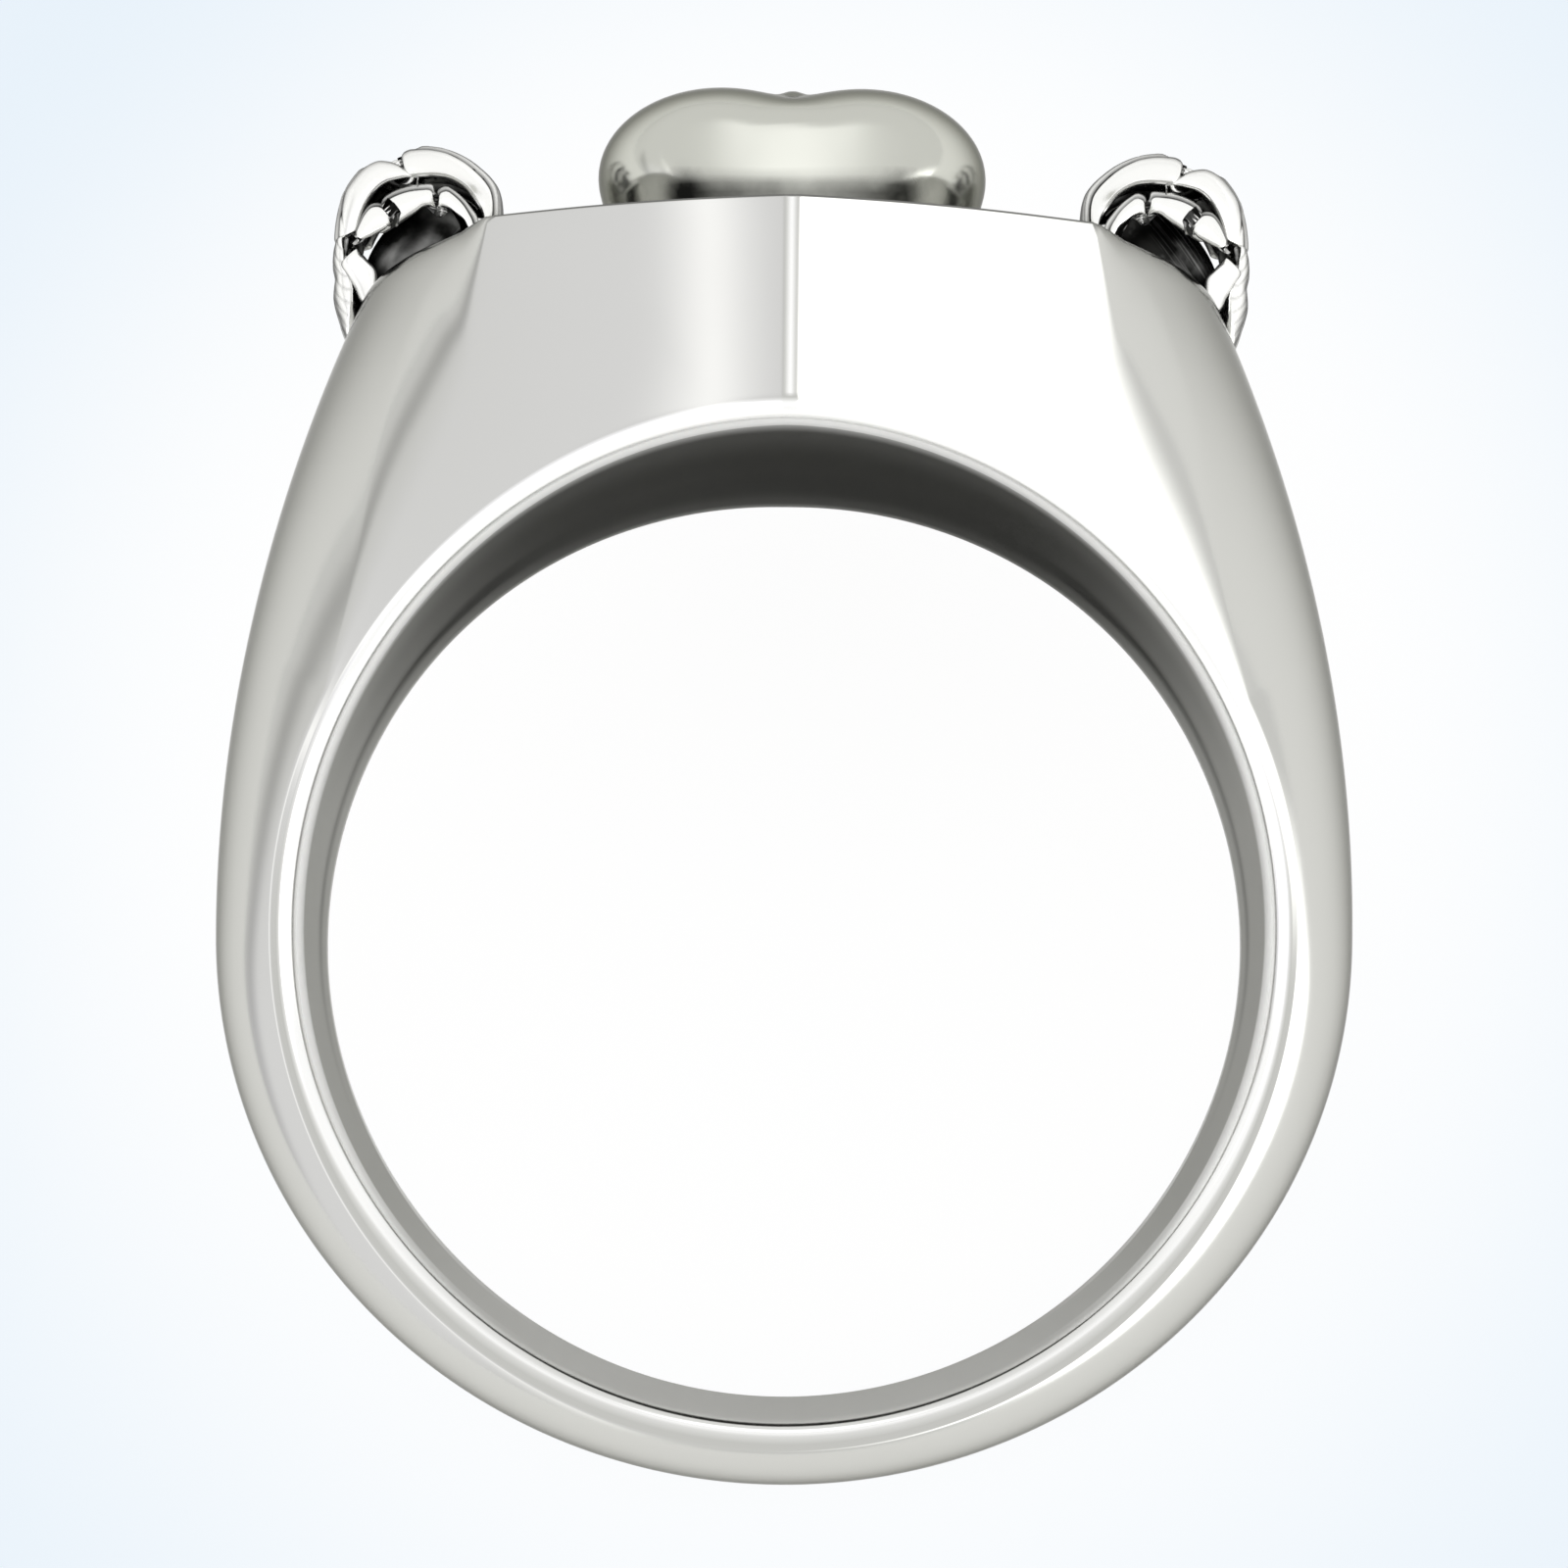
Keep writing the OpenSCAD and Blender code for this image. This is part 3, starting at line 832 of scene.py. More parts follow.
@dataclass
class Skull:
    """The skull in high relief, on the middle of the head's flat top.

    It is shaped facing outwards: X across the face, Y up to the crown, Z out of the
    flat top. All lengths are in millimetres.
    """

    top_y: float
    width: float = 7.8
    length: float = 10.6
    height: float = 3.65
    oval_blend: float = 10.0
    hollow_blend: float = 0.1
    crown_y: float = 4.68
    crown_z: float = 1.9
    crown_tilt: float = 5.0
    crown_bow_r: float = 20.0
    crown_blend: float = 0.12
    middle: tuple[float, float, float] = (0.0, 0.0, 0.8)
    foot_z: float = -0.35
    fineness: int = 6
    search_rounds: int = 24
    settle_rounds: int = 10
    settle_pulls: int = 2
    # Where the oxide of its hollows fades out, and the painted shade at its foot and under its crown, with
    # two notches.
    hollow_soft: float = 0.16
    hollow_top_z: float = 3.3
    foot_dark: float = 0.85
    foot_rise: float = 0.42
    foot_end_y: float = 4.2
    crown_dark: float = 0.7
    crown_from_y: float = 3.9
    crown_top_z: float = 1.4
    crown_end_x: float = 2.6
    notch_dark: float = 0.25
    notch_rise: float = 0.12
    notch_x: float = 2.05
    notch_w: float = 0.3
    # The teeth, from the middle outwards, in two rows.
    teeth_a_side: int = 4
    tooth_pitch: float = 0.4
    tooth_close: float = 0.985
    tooth_half: tuple[float, float, float] = (0.185, 0.36, 0.42)
    tooth_rows: tuple[float, ...] = (-3.8, -4.4)
    tooth_shrink: tuple[float, float] = (0.07, 0.06)
    tooth_square: float = 0.62
    tooth_taper: float = 0.12
    tooth_dark: float = 0.75
    tooth_faces: tuple[int, int] = (20, 12)
    teeth_z: float = 2.5
    teeth_fall: float = 0.22

    @property
    def size(self) -> np.ndarray:
        """Width, length and height."""
        return np.array([self.width, self.length, self.height])

    @property
    def place(self) -> Matrix:
        """Takes the skull's own axes to the upright ring's."""
        return (
            Matrix.Translation((0, self.top_y, 0))
            @ Matrix.Rotation(math.pi, 4, "Z")
            @ Matrix.Rotation(math.pi / 2, 4, "X")
        )

    def oval_distance(self, p: np.ndarray, oval: Oval) -> np.ndarray:
        """About how far points p lie outside a pair of ovals; less than 0 is inside."""
        v = np.stack([np.abs(p[:, 0]), p[:, 1], p[:, 2]], axis=1) - np.array(oval.middle) * self.size
        r = np.array(oval.radii) * self.size
        c, s = math.cos(math.radians(oval.turn)), math.sin(math.radians(oval.turn))
        q = np.stack([(v[:, 0] * c + v[:, 1] * s) / r[0], (v[:, 1] * c - v[:, 0] * s) / r[1], v[:, 2] / r[2]])
        k = np.linalg.norm(q, axis=0)
        return k * (k - 1) / np.maximum(np.linalg.norm(q / r[:, None], axis=0), 0.001)

    def joined(self, p: np.ndarray, ovals: Sequence[Oval], blend: float) -> np.ndarray:
        """Distance of points p from ovals that flow into each other."""
        far = np.array([np.minimum(self.oval_distance(p, oval), 8) for oval in ovals])
        return -np.log(np.exp(-blend * far).sum(axis=0)) / blend

    def distance(self, p: np.ndarray) -> np.ndarray:
        """Distance of points p from the skull's surface."""
        solid = self.joined(p, SKULL_OVALS, self.oval_blend)
        tilt = math.radians(self.crown_tilt)
        crown = (p[:, 1] - self.crown_y) * math.cos(tilt) + (p[:, 2] - self.crown_z) * math.sin(tilt)
        crown = crown + p[:, 0] ** 2 / (2 * self.crown_bow_r)
        solid = soft_max(solid, crown, self.crown_blend)
        hollow = -self.joined(p, SKULL_HOLLOWS, self.oval_blend)
        return soft_max(solid, hollow, self.hollow_blend)

    def slope(self, p: np.ndarray, step: float = 0.01) -> np.ndarray:
        """Direction in which the distance grows at points p, with its rate."""
        rows = []
        for axis in range(3):
            shift = np.zeros(3)
            shift[axis] = step
            rows.append((self.distance(p + shift) - self.distance(p - shift)) / (2 * step))
        return np.stack(rows, axis=1)

    def bone(self) -> bmesh.types.BMesh:
        """Shapes a sphere into the skull.

        The sphere's vertices go out along rays to the surface. Then they spread evenly
        over it, in rounds of smoothing and of moving back to the surface.

        Returns:
            The skull without its teeth, on its own axes.
        """
        bm = bmesh.new()
        bmesh.ops.create_icosphere(bm, subdivisions=self.fineness, radius=1.0)
        way = points_of(bm)
        way /= np.linalg.norm(way, axis=1)[:, None]
        centre = np.array(self.middle)
        near, far = np.zeros(len(way)), np.full(len(way), self.length)
        for _ in range(self.search_rounds):
            half = (near + far) / 2
            inside = self.distance(centre + half[:, None] * way) < 0
            near, far = np.where(inside, half, near), np.where(inside, far, half)
        at = centre + near[:, None] * way
        pairs = np.array([(e.verts[0].index, e.verts[1].index) for e in bm.edges])
        count = np.bincount(pairs.ravel(), minlength=len(at))[:, None]
        for _ in range(self.settle_rounds):
            around = np.zeros_like(at)
            np.add.at(around, pairs[:, 0], at[pairs[:, 1]])
            np.add.at(around, pairs[:, 1], at[pairs[:, 0]])
            at = mix(at, around / count, 0.5)
            for _ in range(self.settle_pulls):
                slope = self.slope(at)
                steep = np.maximum((slope**2).sum(axis=1), 0.05)
                at = at - slope * (self.distance(at) / steep)[:, None]
        dark = self.recess(at)
        at[:, 2] = np.maximum(at[:, 2], self.foot_z)
        move_to(bm, at)
        keep_values(bm, RECESS, dark)
        return bm

    def recess(self, at: np.ndarray) -> np.ndarray:
        """How dark the skull is at points on it: oxide in its hollows, and painted shade at its foot and
        under its crown.
        """
        x, y, z = np.abs(at[:, 0]), at[:, 1], at[:, 2]
        notch = bump(x, self.notch_x, self.notch_w)
        foot = self.foot_dark * ease((self.foot_rise - z) / self.foot_rise)
        foot = foot * ease((self.foot_end_y - np.abs(y)) / 0.6)
        crown = ease((y - self.crown_from_y) / 0.4)
        crown = crown * ease((self.crown_top_z + self.notch_rise * notch - z) / self.foot_rise)
        crown = crown * (self.crown_dark + self.notch_dark * notch) * ease((self.crown_end_x - x) / 0.4)
        dark = np.maximum(foot, crown)
        for hollow in SKULL_HOLLOWS:
            inside = ease(1 - self.oval_distance(at, hollow) / self.hollow_soft)
            dark = np.maximum(dark, hollow.dark * (inside * ease((self.hollow_top_z - z) / 0.75)))
        return dark

    def teeth(self) -> bmesh.types.BMesh:
        """Shapes the two rows of teeth, each a small rounded block.

        Returns:
            The teeth, on the skull's axes.
        """
        bm = bmesh.new()
        layer = bm.verts.layers.float.new(RECESS)
        columns, rings = self.tooth_faces
        for side in (-1, 1):
            for place in range(self.teeth_a_side):
                x = (place + 0.5) * self.tooth_pitch
                for row, y in enumerate(self.tooth_rows):
                    made = bmesh.ops.create_uvsphere(bm, u_segments=columns, v_segments=rings, radius=1.0)
                    shrink = 1 - self.tooth_shrink[0] * place - self.tooth_shrink[1] * row
                    for vert in made["verts"]:
                        block = [math.copysign(abs(c) ** self.tooth_square, c) for c in vert.co]
                        taper = 1 - self.tooth_taper * block[1] * (1 if row == 0 else -1)
                        vert[layer] = self.tooth_dark * float(ease((0.1 - vert.co.z) / 0.7))
                        vert.co = (
                            side * (x * self.tooth_close) + block[0] * self.tooth_half[0] * taper,
                            y + block[1] * self.tooth_half[1] * shrink,
                            self.teeth_z - self.teeth_fall * x * x + block[2] * self.tooth_half[2],
                        )
        return bm


# The roses


def path_at(points: Sequence[tuple[float, float]], t: np.ndarray) -> np.ndarray:
    """Places along a smooth path through points.

    Args:
        points: The points, in order.
        t: Shares of the way along the path, from 0 to 1.

    Returns:
        One place for each share.
    """
    way = np.array(points, float)
    gap = np.linalg.norm(np.diff(way, axis=0), axis=1)
    reach = np.concatenate([[0], np.cumsum(gap)])
    slope = np.gradient(way, reach, axis=0)
    along = np.clip(t, 0, 1) * reach[-1]
    i = np.clip(np.searchsorted(reach, along, side="right") - 1, 0, len(gap) - 1)
    h = gap[i][..., None]
    s = ((along - reach[i]) / gap[i])[..., None]
    return (
        (2 * s**3 - 3 * s**2 + 1) * way[i]
        + (s**3 - 2 * s**2 + s) * h * slope[i]
        + (3 * s**2 - 2 * s**3) * way[i + 1]
        + (s**3 - s**2) * h * slope[i + 1]
    )


# Width of the step where one petal lies over the next, and strength and place of the painted shadow under the
# upper petal's rim.
LAP_W = 0.05
LAP_DARK = 0.97
LAP_DARK_AT = -0.045


def lap(x: np.ndarray, drop: float, run: float) -> tuple[np.ndarray, np.ndarray]:
    """The step where one petal lies over the next.

    Args:
        x: Distance from the upper petal's rim, less than 0 beside it on the lower petal.
        drop: How far the lower petal lies under the rim.
        run: Over what distance the lower petal rises again.

    Returns:
        How deep the surface lies, and how dark the painted shadow under the upper petal's rim is, at each
        distance.
    """
    depth = drop * ease((LAP_W / 2 - x) / LAP_W) * np.exp(np.minimum(x, 0) / run)
    return depth, LAP_DARK * bump(x, LAP_DARK_AT, LAP_W)


def leaf_width(t: np.ndarray, span: tuple[float, float], blunt: float) -> np.ndarray:
    """A leaf's width along its length, as a share of its greatest width.

    Args:
        t: Shares of the way from root to tip.
        span: Which part of a half wave its outline follows.
        blunt: The wave's power, which makes the leaf fuller the smaller it is.

    Returns:
        One width for each share.
    """
    return np.sin(math.pi * mix(*span, np.clip(t, 0, 1))) ** blunt


class PetalKind(Enum):
    """What a curved slab of the rose is."""

    CROWN = "one of the two petals that close over the bud"
    PETAL = "a single petal"
    LEAF = "a pointed leaf with a midrib and veins"


@dataclass(frozen=True)
class Petal:
    """A petal or leaf of the left rose, as a curved slab between two edges.

    Its edges are drawn on the upright ring as it is seen along the finger, in
    millimetres. From its outer edge the petal swells out along the finger, in a
    quarter of an oval, to its inner edge.

    Attributes:
        outer: Points along its outer edge, from root to tip.
        inner: Points along its inner edge, from root to tip.
        z: How far its outer and its inner edge lie along the finger.
        kind: What it is.
        whole: Whether it runs on over the middle to its own mirror image. If not, it
            has a twin on the far side.
        thick: Its thickness.
        roll: How far its inner edge rolls under, as a share of a quarter turn.
        lip: How far inside its outer edge a fine step follows it, or 0 for none.
        ends: Share of its width that is left at its root and at its tip.
        steps: How many faces it has along and across.
    """

    outer: tuple[tuple[float, float], ...]
    inner: tuple[tuple[float, float], ...]
    z: tuple[float, float]
    kind: PetalKind = PetalKind.PETAL
    whole: bool = False
    thick: float = 0.2
    roll: float = 0.15
    lip: float = 0.0
    ends: tuple[float, float] = (0.9, 0.9)
    steps: tuple[int, int] = (28, 26)


ROSE_PETALS = (
    Petal(
        outer=(
            (-6.2, 13.2), (-5.9, 13.9), (-5.86, 14.45), (-5.86, 14.8), (-5.89, 15.03), (-5.95, 15.21),
            (-6.08, 15.39), (-6.29, 15.58), (-6.52, 15.745), (-6.745, 15.857), (-6.95, 15.93),
            (-7.13, 15.96), (-7.33, 15.975), (-7.53, 15.96), (-7.735, 15.92), (-7.86, 15.83),
            (-7.92, 15.7),
        ),
        inner=(
            (-6.4, 13.2), (-6.3, 13.6), (-6.2, 14.0), (-6.2, 14.3), (-6.27, 14.54), (-6.38, 14.74),
            (-6.49, 14.89), (-6.64, 15.0), (-6.82, 15.08), (-7.02, 15.105), (-7.24, 15.09),
            (-7.45, 15.07), (-7.62, 15.06),
        ),
        z=(0, 1.5), kind=PetalKind.CROWN, whole=True, thick=0.3, lip=0.16, ends=(0.25, 1.0), steps=(96, 120),
    ),
    Petal(
        outer=(
            (-9.26, 13.95), (-9.24, 14.28), (-9.2, 14.54), (-9.14, 14.79), (-9.06, 15.05),
            (-8.92, 15.25), (-8.74, 15.455), (-8.54, 15.6), (-8.34, 15.67), (-8.2, 15.66),
            (-8.05, 15.62), (-7.9, 15.54), (-7.72, 15.4),
        ),
        inner=(
            (-8.66, 13.78), (-8.62, 14.02), (-8.57, 14.19), (-8.5, 14.37), (-8.4, 14.57),
            (-8.28, 14.74), (-8.15, 14.87), (-8.0, 14.96), (-7.81, 15.01), (-7.61, 15.05),
            (-7.4, 15.04),
        ),
        z=(0, 1.5), kind=PetalKind.CROWN, whole=True, thick=0.3, lip=0.13, ends=(0.6, 1.0), steps=(80, 120),
    ),
    Petal(
        outer=(
            (-8.16, 14.5), (-8.1, 14.73), (-7.95, 14.85), (-7.775, 14.93), (-7.55, 14.99),
            (-7.31, 15.01), (-7.12, 15.0), (-7.03, 14.92),
        ),
        inner=(
            (-8.2, 13.85), (-7.99, 13.92), (-7.865, 14.0), (-7.62, 14.16), (-7.375, 14.33),
            (-7.23, 14.43), (-7.12, 14.42), (-7.05, 14.38),
        ),
        z=(1.22, 1.78), thick=0.26, lip=0.13, roll=0.3,
    ),
    Petal(
        outer=(
            (-7.02, 14.5), (-7.0, 14.94), (-6.87, 14.98), (-6.7, 14.89), (-6.5, 14.72), (-6.36, 14.55),
            (-6.24, 14.38), (-6.18, 14.1),
        ),
        inner=(
            (-7.0, 14.38), (-6.96, 14.42), (-6.88, 14.45), (-6.76, 14.41), (-6.6, 14.28), (-6.5, 14.2),
            (-6.4, 14.0), (-6.3, 13.9),
        ),
        z=(1.2, 1.68), thick=0.26, lip=0.1, roll=0.3,
    ),
    Petal(
        outer=(
            (-8.66, 13.95), (-8.6, 14.12), (-8.54, 14.26), (-8.45, 14.43), (-8.31, 14.57),
            (-8.12, 14.58), (-7.97, 14.46), (-7.86, 14.3),
        ),
        inner=(
            (-8.5, 13.76), (-8.45, 13.74), (-8.38, 13.75), (-8.31, 13.78), (-8.2, 13.83),
            (-8.11, 13.88), (-7.99, 13.95), (-7.88, 14.03),
        ),
        z=(1.45, 1.95), thick=0.24, lip=0.07, roll=0.3,
    ),
    Petal(
        outer=(
            (-8.97, 13.55), (-9.0, 13.45), (-8.9, 13.25), (-8.72, 12.95), (-8.62, 12.72), (-8.5, 12.6),
        ),
        inner=(
            (-8.6, 13.74), (-8.42, 13.52), (-8.24, 13.3), (-8.2, 13.0), (-8.22, 12.74), (-8.34, 12.55),
        ),
        z=(0.85, 1.35), thick=0.24, roll=0.1,
    ),
    Petal(
        outer=(
            (-9.2, 14.1), (-9.285, 13.78), (-9.295, 13.52), (-9.25, 13.27), (-9.27, 13.1),
            (-9.275, 12.89), (-9.22, 12.63), (-9.157, 12.43), (-9.09, 12.21), (-8.97, 11.95),
            (-8.8, 11.75),
        ),
        inner=(
            (-8.95, 14.0), (-8.9, 13.7), (-8.88, 13.5), (-8.84, 13.31), (-8.76, 13.13), (-8.68, 12.88),
            (-8.62, 12.58), (-8.6, 12.3), (-8.6, 12.1), (-8.62, 11.9), (-8.66, 11.8),
        ),
        z=(0, 1.0), kind=PetalKind.LEAF, whole=True, thick=0.22, steps=(64, 56),
    ),
)


@dataclass(frozen=True)
class PetalRing:
    """A ring of petals that close round the bud.

    Attributes:
        count: How many petals it has.
        turn: Where the first one lies, in radians.
        rim: Radius of its rim, as a share of the rose's.
        drop: How far the surface steps down inside the rim.
    """

    count: int
    turn: float
    rim: float
    drop: float


@dataclass(frozen=True)
class BudWall:
    """A small curved petal of the bud.

    Attributes:
        radius: Its distance from the bud's axis.
        start: Where it starts, in degrees round the axis.
        sweep: How far it goes round, in degrees.
        rise: How much higher it is than the bud.
    """

    radius: float
    start: float
    sweep: float
    rise: float


@dataclass
class Rose:
    """A rose with its leaves, which leans over one shoulder of the head.

    Attributes:
        side: -1 for the left rose and 1 for the right one, seen from the near mouth.
    """

    side: float
    # The left rose on the upright ring, and its petals. The right rose is its mirror image.
    lean: float = 27.0
    middle: tuple[float, float] = (-7.2, 13.8)
    plan_r: float = 2.2
    petals: tuple[Petal, ...] = ROSE_PETALS
    end_share: float = 0.16
    groove: float = 0.07
    groove_w: float = 0.042
    # Painted shade over the inner side of every petal and leaf.
    inside_dark: float = 0.96
    weld: float = 0.00001
    # The bud, and the rims of the petals that close round it.
    bud_aside: float = 0.12
    bud_height: float = 1.97
    bud_walls: tuple[BudWall, ...] = (
        BudWall(0.05, 0, 330, 0.12),
        BudWall(0.17, 150, 220, 0.06),
        BudWall(0.20, 330, 200, 0.03),
        BudWall(0.31, 60, 160, -0.02),
        BudWall(0.33, 185, 160, -0.04),
        BudWall(0.32, 310, 160, -0.03),
    )
    bud_t: float = 0.075
    bud_steps: tuple[int, int] = (30, 10)
    rings: tuple[PetalRing, PetalRing] = (PetalRing(3, 0.5, 0.5, 0.16), PetalRing(5, 1.3, 0.98, 0.13))
    rim_shape: tuple[float, float] = (0.86, 0.98)
    rim_lobe: float = 0.09
    lap_slant: float = 0.55
    lap_drop: float = 0.09
    # The leaves beside the rose on the flat top, the leaf down its side, and their veins.
    leaf_root: tuple[float, float, float] = (-6.6, 13.42, 0.7)
    leaf_tip: tuple[float, float, float] = (-6.2, 13.38, 3.15)
    leaf_half: float = 0.62
    leaf_t: float = 0.16
    leaf_span: tuple[float, float] = (0.15, 0.985)
    leaf_blunt: float = 0.85
    leaf_fold: float = 0.22
    leaf_bow: float = 0.16
    leaf_steps: tuple[int, int] = (64, 40)
    side_leaf_span: tuple[float, float] = (0.3, 0.97)
    side_leaf_blunt: float = 0.8
    rib_w: float = 0.06
    rib_side: float = 0.12
    vein_w: float = 0.035
    vein_slant: float = 0.9
    vein_pitch: float = 0.3
    # The dark heart under the petals: painted shade for the hollow under them.
    core_middle: tuple[float, float] = (7.45, 13.55)
    core_half: tuple[float, float, float] = (1.05, 1.62, 1.2)
    core_lean: float = 36.0
    core_dark: float = 0.97
    core_steps: tuple[int, int] = (64, 32)

    @property
    def up(self) -> np.ndarray:
        """The way in which the left rose points, across and up the ring."""
        turn = math.radians(90 + self.lean)
        return np.array([math.cos(turn), math.sin(turn)])

    @property
    def aside(self) -> np.ndarray:
        """The way from the left rose's axis towards the skull."""
        return np.array([self.up[1], -self.up[0]])

    def slab(
        self,
        bm: bmesh.types.BMesh,
        skin: Callable[[np.ndarray, np.ndarray], np.ndarray],
        shade: Callable[[np.ndarray, np.ndarray, np.ndarray], np.ndarray],
        steps: tuple[int, int],
        thick: float,
        under: Sequence[float],
        far: bool = False,
    ) -> None:
        """Adds a closed curved slab with round rims.

        Args:
            bm: The mesh that it joins.
            skin: Gives the outer skin's points from two shares, each from -1 to 1.
            shade: Gives the recess values from the shares and the layer, where 1 is outside.
            steps: How many faces it has along and across.
            thick: Its thickness.
            under: A place that its inner side faces.
            far: Whether it is the twin on the far side.
        """
        part = bmesh.new()
        bmesh.ops.create_grid(part, x_segments=steps[0], y_segments=steps[1], size=1.0)
        raised = bmesh.ops.extrude_face_region(part, geom=list(part.faces))["geom"]
        bmesh.ops.translate(
            part, vec=(0, 0, 1), verts=[g for g in raised if isinstance(g, bmesh.types.BMVert)]
        )
        at = points_of(part)
        u, v = (mix(at[:, k], np.sin(at[:, k] * math.pi / 2), 0.5) for k in (0, 1))
        layer = at[:, 2]
        step = 0.002
        outside = skin(u, v)
        along = (skin(u + step, v) - skin(u - step, v)) / (2 * step)
        across = (skin(u, v + step) - skin(u, v - step)) / (2 * step)
        normal = np.cross(along, across)
        normal /= np.maximum(np.linalg.norm(normal, axis=1), 1e-9)[:, None]
        inwards = np.where((normal * (outside - np.array(under))).sum(axis=1) > 0, -1.0, 1.0)
        rim = np.minimum(
            (1 - np.abs(u)) * np.linalg.norm(along, axis=1), (1 - np.abs(v)) * np.linalg.norm(across, axis=1)
        )
        near_rim = np.clip(1 - rim / (thick / 2), 0, 1)
        inset = thick / 2 * (1 - np.sqrt(1 - near_rim**2))
        depth = np.where(layer > 0.5, inset, thick - inset)
        moved = outside + normal * (inwards * depth)[:, None]
        moved = moved * np.array([-self.side, 1, -1 if far else 1])
        move_to(part, moved)
        # Painted shade is weaker near the rims, down to 40 per cent at the very edge.
        keep_values(part, RECESS, shade(u, v, layer) * mix(0.4, 1.0, ease(rim / 0.1)))
        bmesh.ops.remove_doubles(part, verts=part.verts, dist=self.weld)
        bmesh.ops.recalc_face_normals(part, faces=part.faces)
        piece = bpy.data.meshes.new("slab")
        part.to_mesh(piece)
        part.free()
        bm.from_mesh(piece)
        bpy.data.meshes.remove(piece)

    def laps(self, flat: np.ndarray, z: np.ndarray) -> tuple[np.ndarray, np.ndarray]:
        """The rims of the petals round the bud, as they lie over each other.

        Two rings of petals close round the bud. In each, the rims are scalloped, and
        each petal lies over the next one.

        Args:
            flat: Places on the upright ring, seen along the finger.
            z: Their places along the finger.

        Returns:
            How deep the surface lies, and how dark the painted shade under the rims and in the open bud is,
            at each place.
        """
        p = (flat - np.array(self.middle)) @ self.aside - self.bud_aside
        wide = np.array(self.rim_shape)
        r = np.hypot(p / wide[0], z / wide[1])
        a = np.arctan2(z / wide[1], p / wide[0])
        mm = wide.mean()
        depth, dark = 0.0 * r, 0.0 * r
        inner, outer = self.rings
        for ring in self.rings:
            turned = a - ring.turn
            edge = ring.rim + self.rim_lobe * (np.abs(np.cos(ring.count / 2 * turned)) - 0.6)
            ring_deep, ring_dark = lap((r - edge) * mm, ring.drop, 0.22)
            slanted = (turned + self.lap_slant * (r - edge)) * ring.count / (2 * math.pi) + 0.5
            beside = (slanted - np.round(slanted)) * 2 * math.pi / ring.count * r * mm
            lap_deep, lap_dark = lap(beside, self.lap_drop, 0.2)
            outside = ease((r - edge) / 0.06)
            if ring is inner:
                outside = outside * ease((outer.rim - 0.1 - r) / 0.1)
            depth = np.maximum.reduce([depth, ring_deep, lap_deep * outside])
            dark = np.maximum.reduce([dark, ring_dark, lap_dark * outside])
        # The open middle of the bud sinks and is painted dark, as shade.
        open_bud = ease((inner.rim - 0.06 - r) / 0.12)
        near_face = 1 - ease((np.abs(z) - 0.7) / 0.3)
        depth = np.maximum(depth * near_face, 0.3 * open_bud)
        return depth, np.maximum(dark * near_face, 0.9 * open_bud)

    def veins(self, t: np.ndarray, across: np.ndarray, length: float) -> tuple[np.ndarray, np.ndarray]:
        """The midrib and the veins of a leaf.

        Args:
            t: Share of the way from root to tip.
            across: Distance from the midrib.
            length: The leaf's length.

        Returns:
            How deep the surface lies, and how dark the painted shade beside the midrib and along the veins
            is, at each place.
        """
        phase = (t * length - self.vein_slant * np.abs(across)) / self.vein_pitch
        beside = (phase - np.round(phase)) * self.vein_pitch
        rib = bump(across, 0, self.rib_w)
        beside_rib = bump(np.abs(across), self.rib_side, self.vein_w)
        vein = bump(beside, 0, self.vein_w) * ease((np.abs(across) - 0.1) / 0.1)
        depth = 0.03 + 0.025 * beside_rib + 0.012 * vein - 0.03 * rib
        return depth, np.maximum(0.6 * beside_rib, 0.3 * vein)

    def petal(self, bm: bmesh.types.BMesh, petal: Petal, far: bool = False) -> None:
        """Adds one petal.

        Args:
            bm: The mesh that it joins.
            petal: Its edges and sizes.
            far: Whether it is the twin on the far side.
        """
        full = math.pi / 2 * (1 + petal.roll)
        length = float(np.linalg.norm(np.diff(np.array(petal.outer), axis=0), axis=1).sum())

        def spread(u: np.ndarray, v: np.ndarray) -> tuple[np.ndarray, np.ndarray]:
            """Share of the way along the petal, and share of the way across it."""
            t = (u + 1) / 2
            from_root, from_tip = ease(t / self.end_share), ease((1 - t) / self.end_share)
            width = mix(petal.ends[0], 1.0, from_root) * mix(petal.ends[1], 1.0, from_tip)
            if petal.kind is PetalKind.LEAF:
                width = leaf_width(t, self.side_leaf_span, self.side_leaf_blunt)
            return t, v * width if petal.whole else 0.5 + v / 2 * width

        def surface(u: np.ndarray, v: np.ndarray) -> tuple[np.ndarray, np.ndarray, np.ndarray, np.ndarray]:
            """The petal's places before and along its grooves, and the painted shade in its grooves, veins
            and laps.
            """
            t, s = spread(u, v)
            turn = full * s
            share = (1 - np.cos(turn)) / (1 - math.cos(full))
            outer, inner = path_at(petal.outer, t), path_at(petal.inner, t)
            flat = outer + (inner - outer) * share[:, None]
            reach = petal.z[1]
            if petal.kind is PetalKind.CROWN:
                p = (outer - np.array(self.middle)) @ self.aside
                reach = reach * np.sqrt(np.maximum(1 - (p / self.plan_r) ** 2, 0.1))
            z = mix(petal.z[0], reach, np.sin(turn))
            deep = np.maximum(np.linalg.norm(inner - outer, axis=1), 1e-6)
            way = (inner - outer) / deep[:, None]
            depth, dark = 0.0 * t, 0.0 * t
            if petal.kind is PetalKind.CROWN:
                depth, dark = self.laps(flat, z)
            if petal.kind is PetalKind.LEAF:
                depth, dark = self.veins(t, z, length)
            if petal.lip:
                line = bump(share * deep, petal.lip, self.groove_w) * ease((1 - np.abs(u)) / 0.12)
                depth, dark = np.maximum(depth, self.groove * line), np.maximum(dark, line)
            return flat, z, way * depth[:, None], dark

        def skin(u: np.ndarray, v: np.ndarray) -> np.ndarray:
            """The petal's outer skin."""
            flat, z, sunk, _ = surface(u, v)
            return np.column_stack([flat + sunk, z])

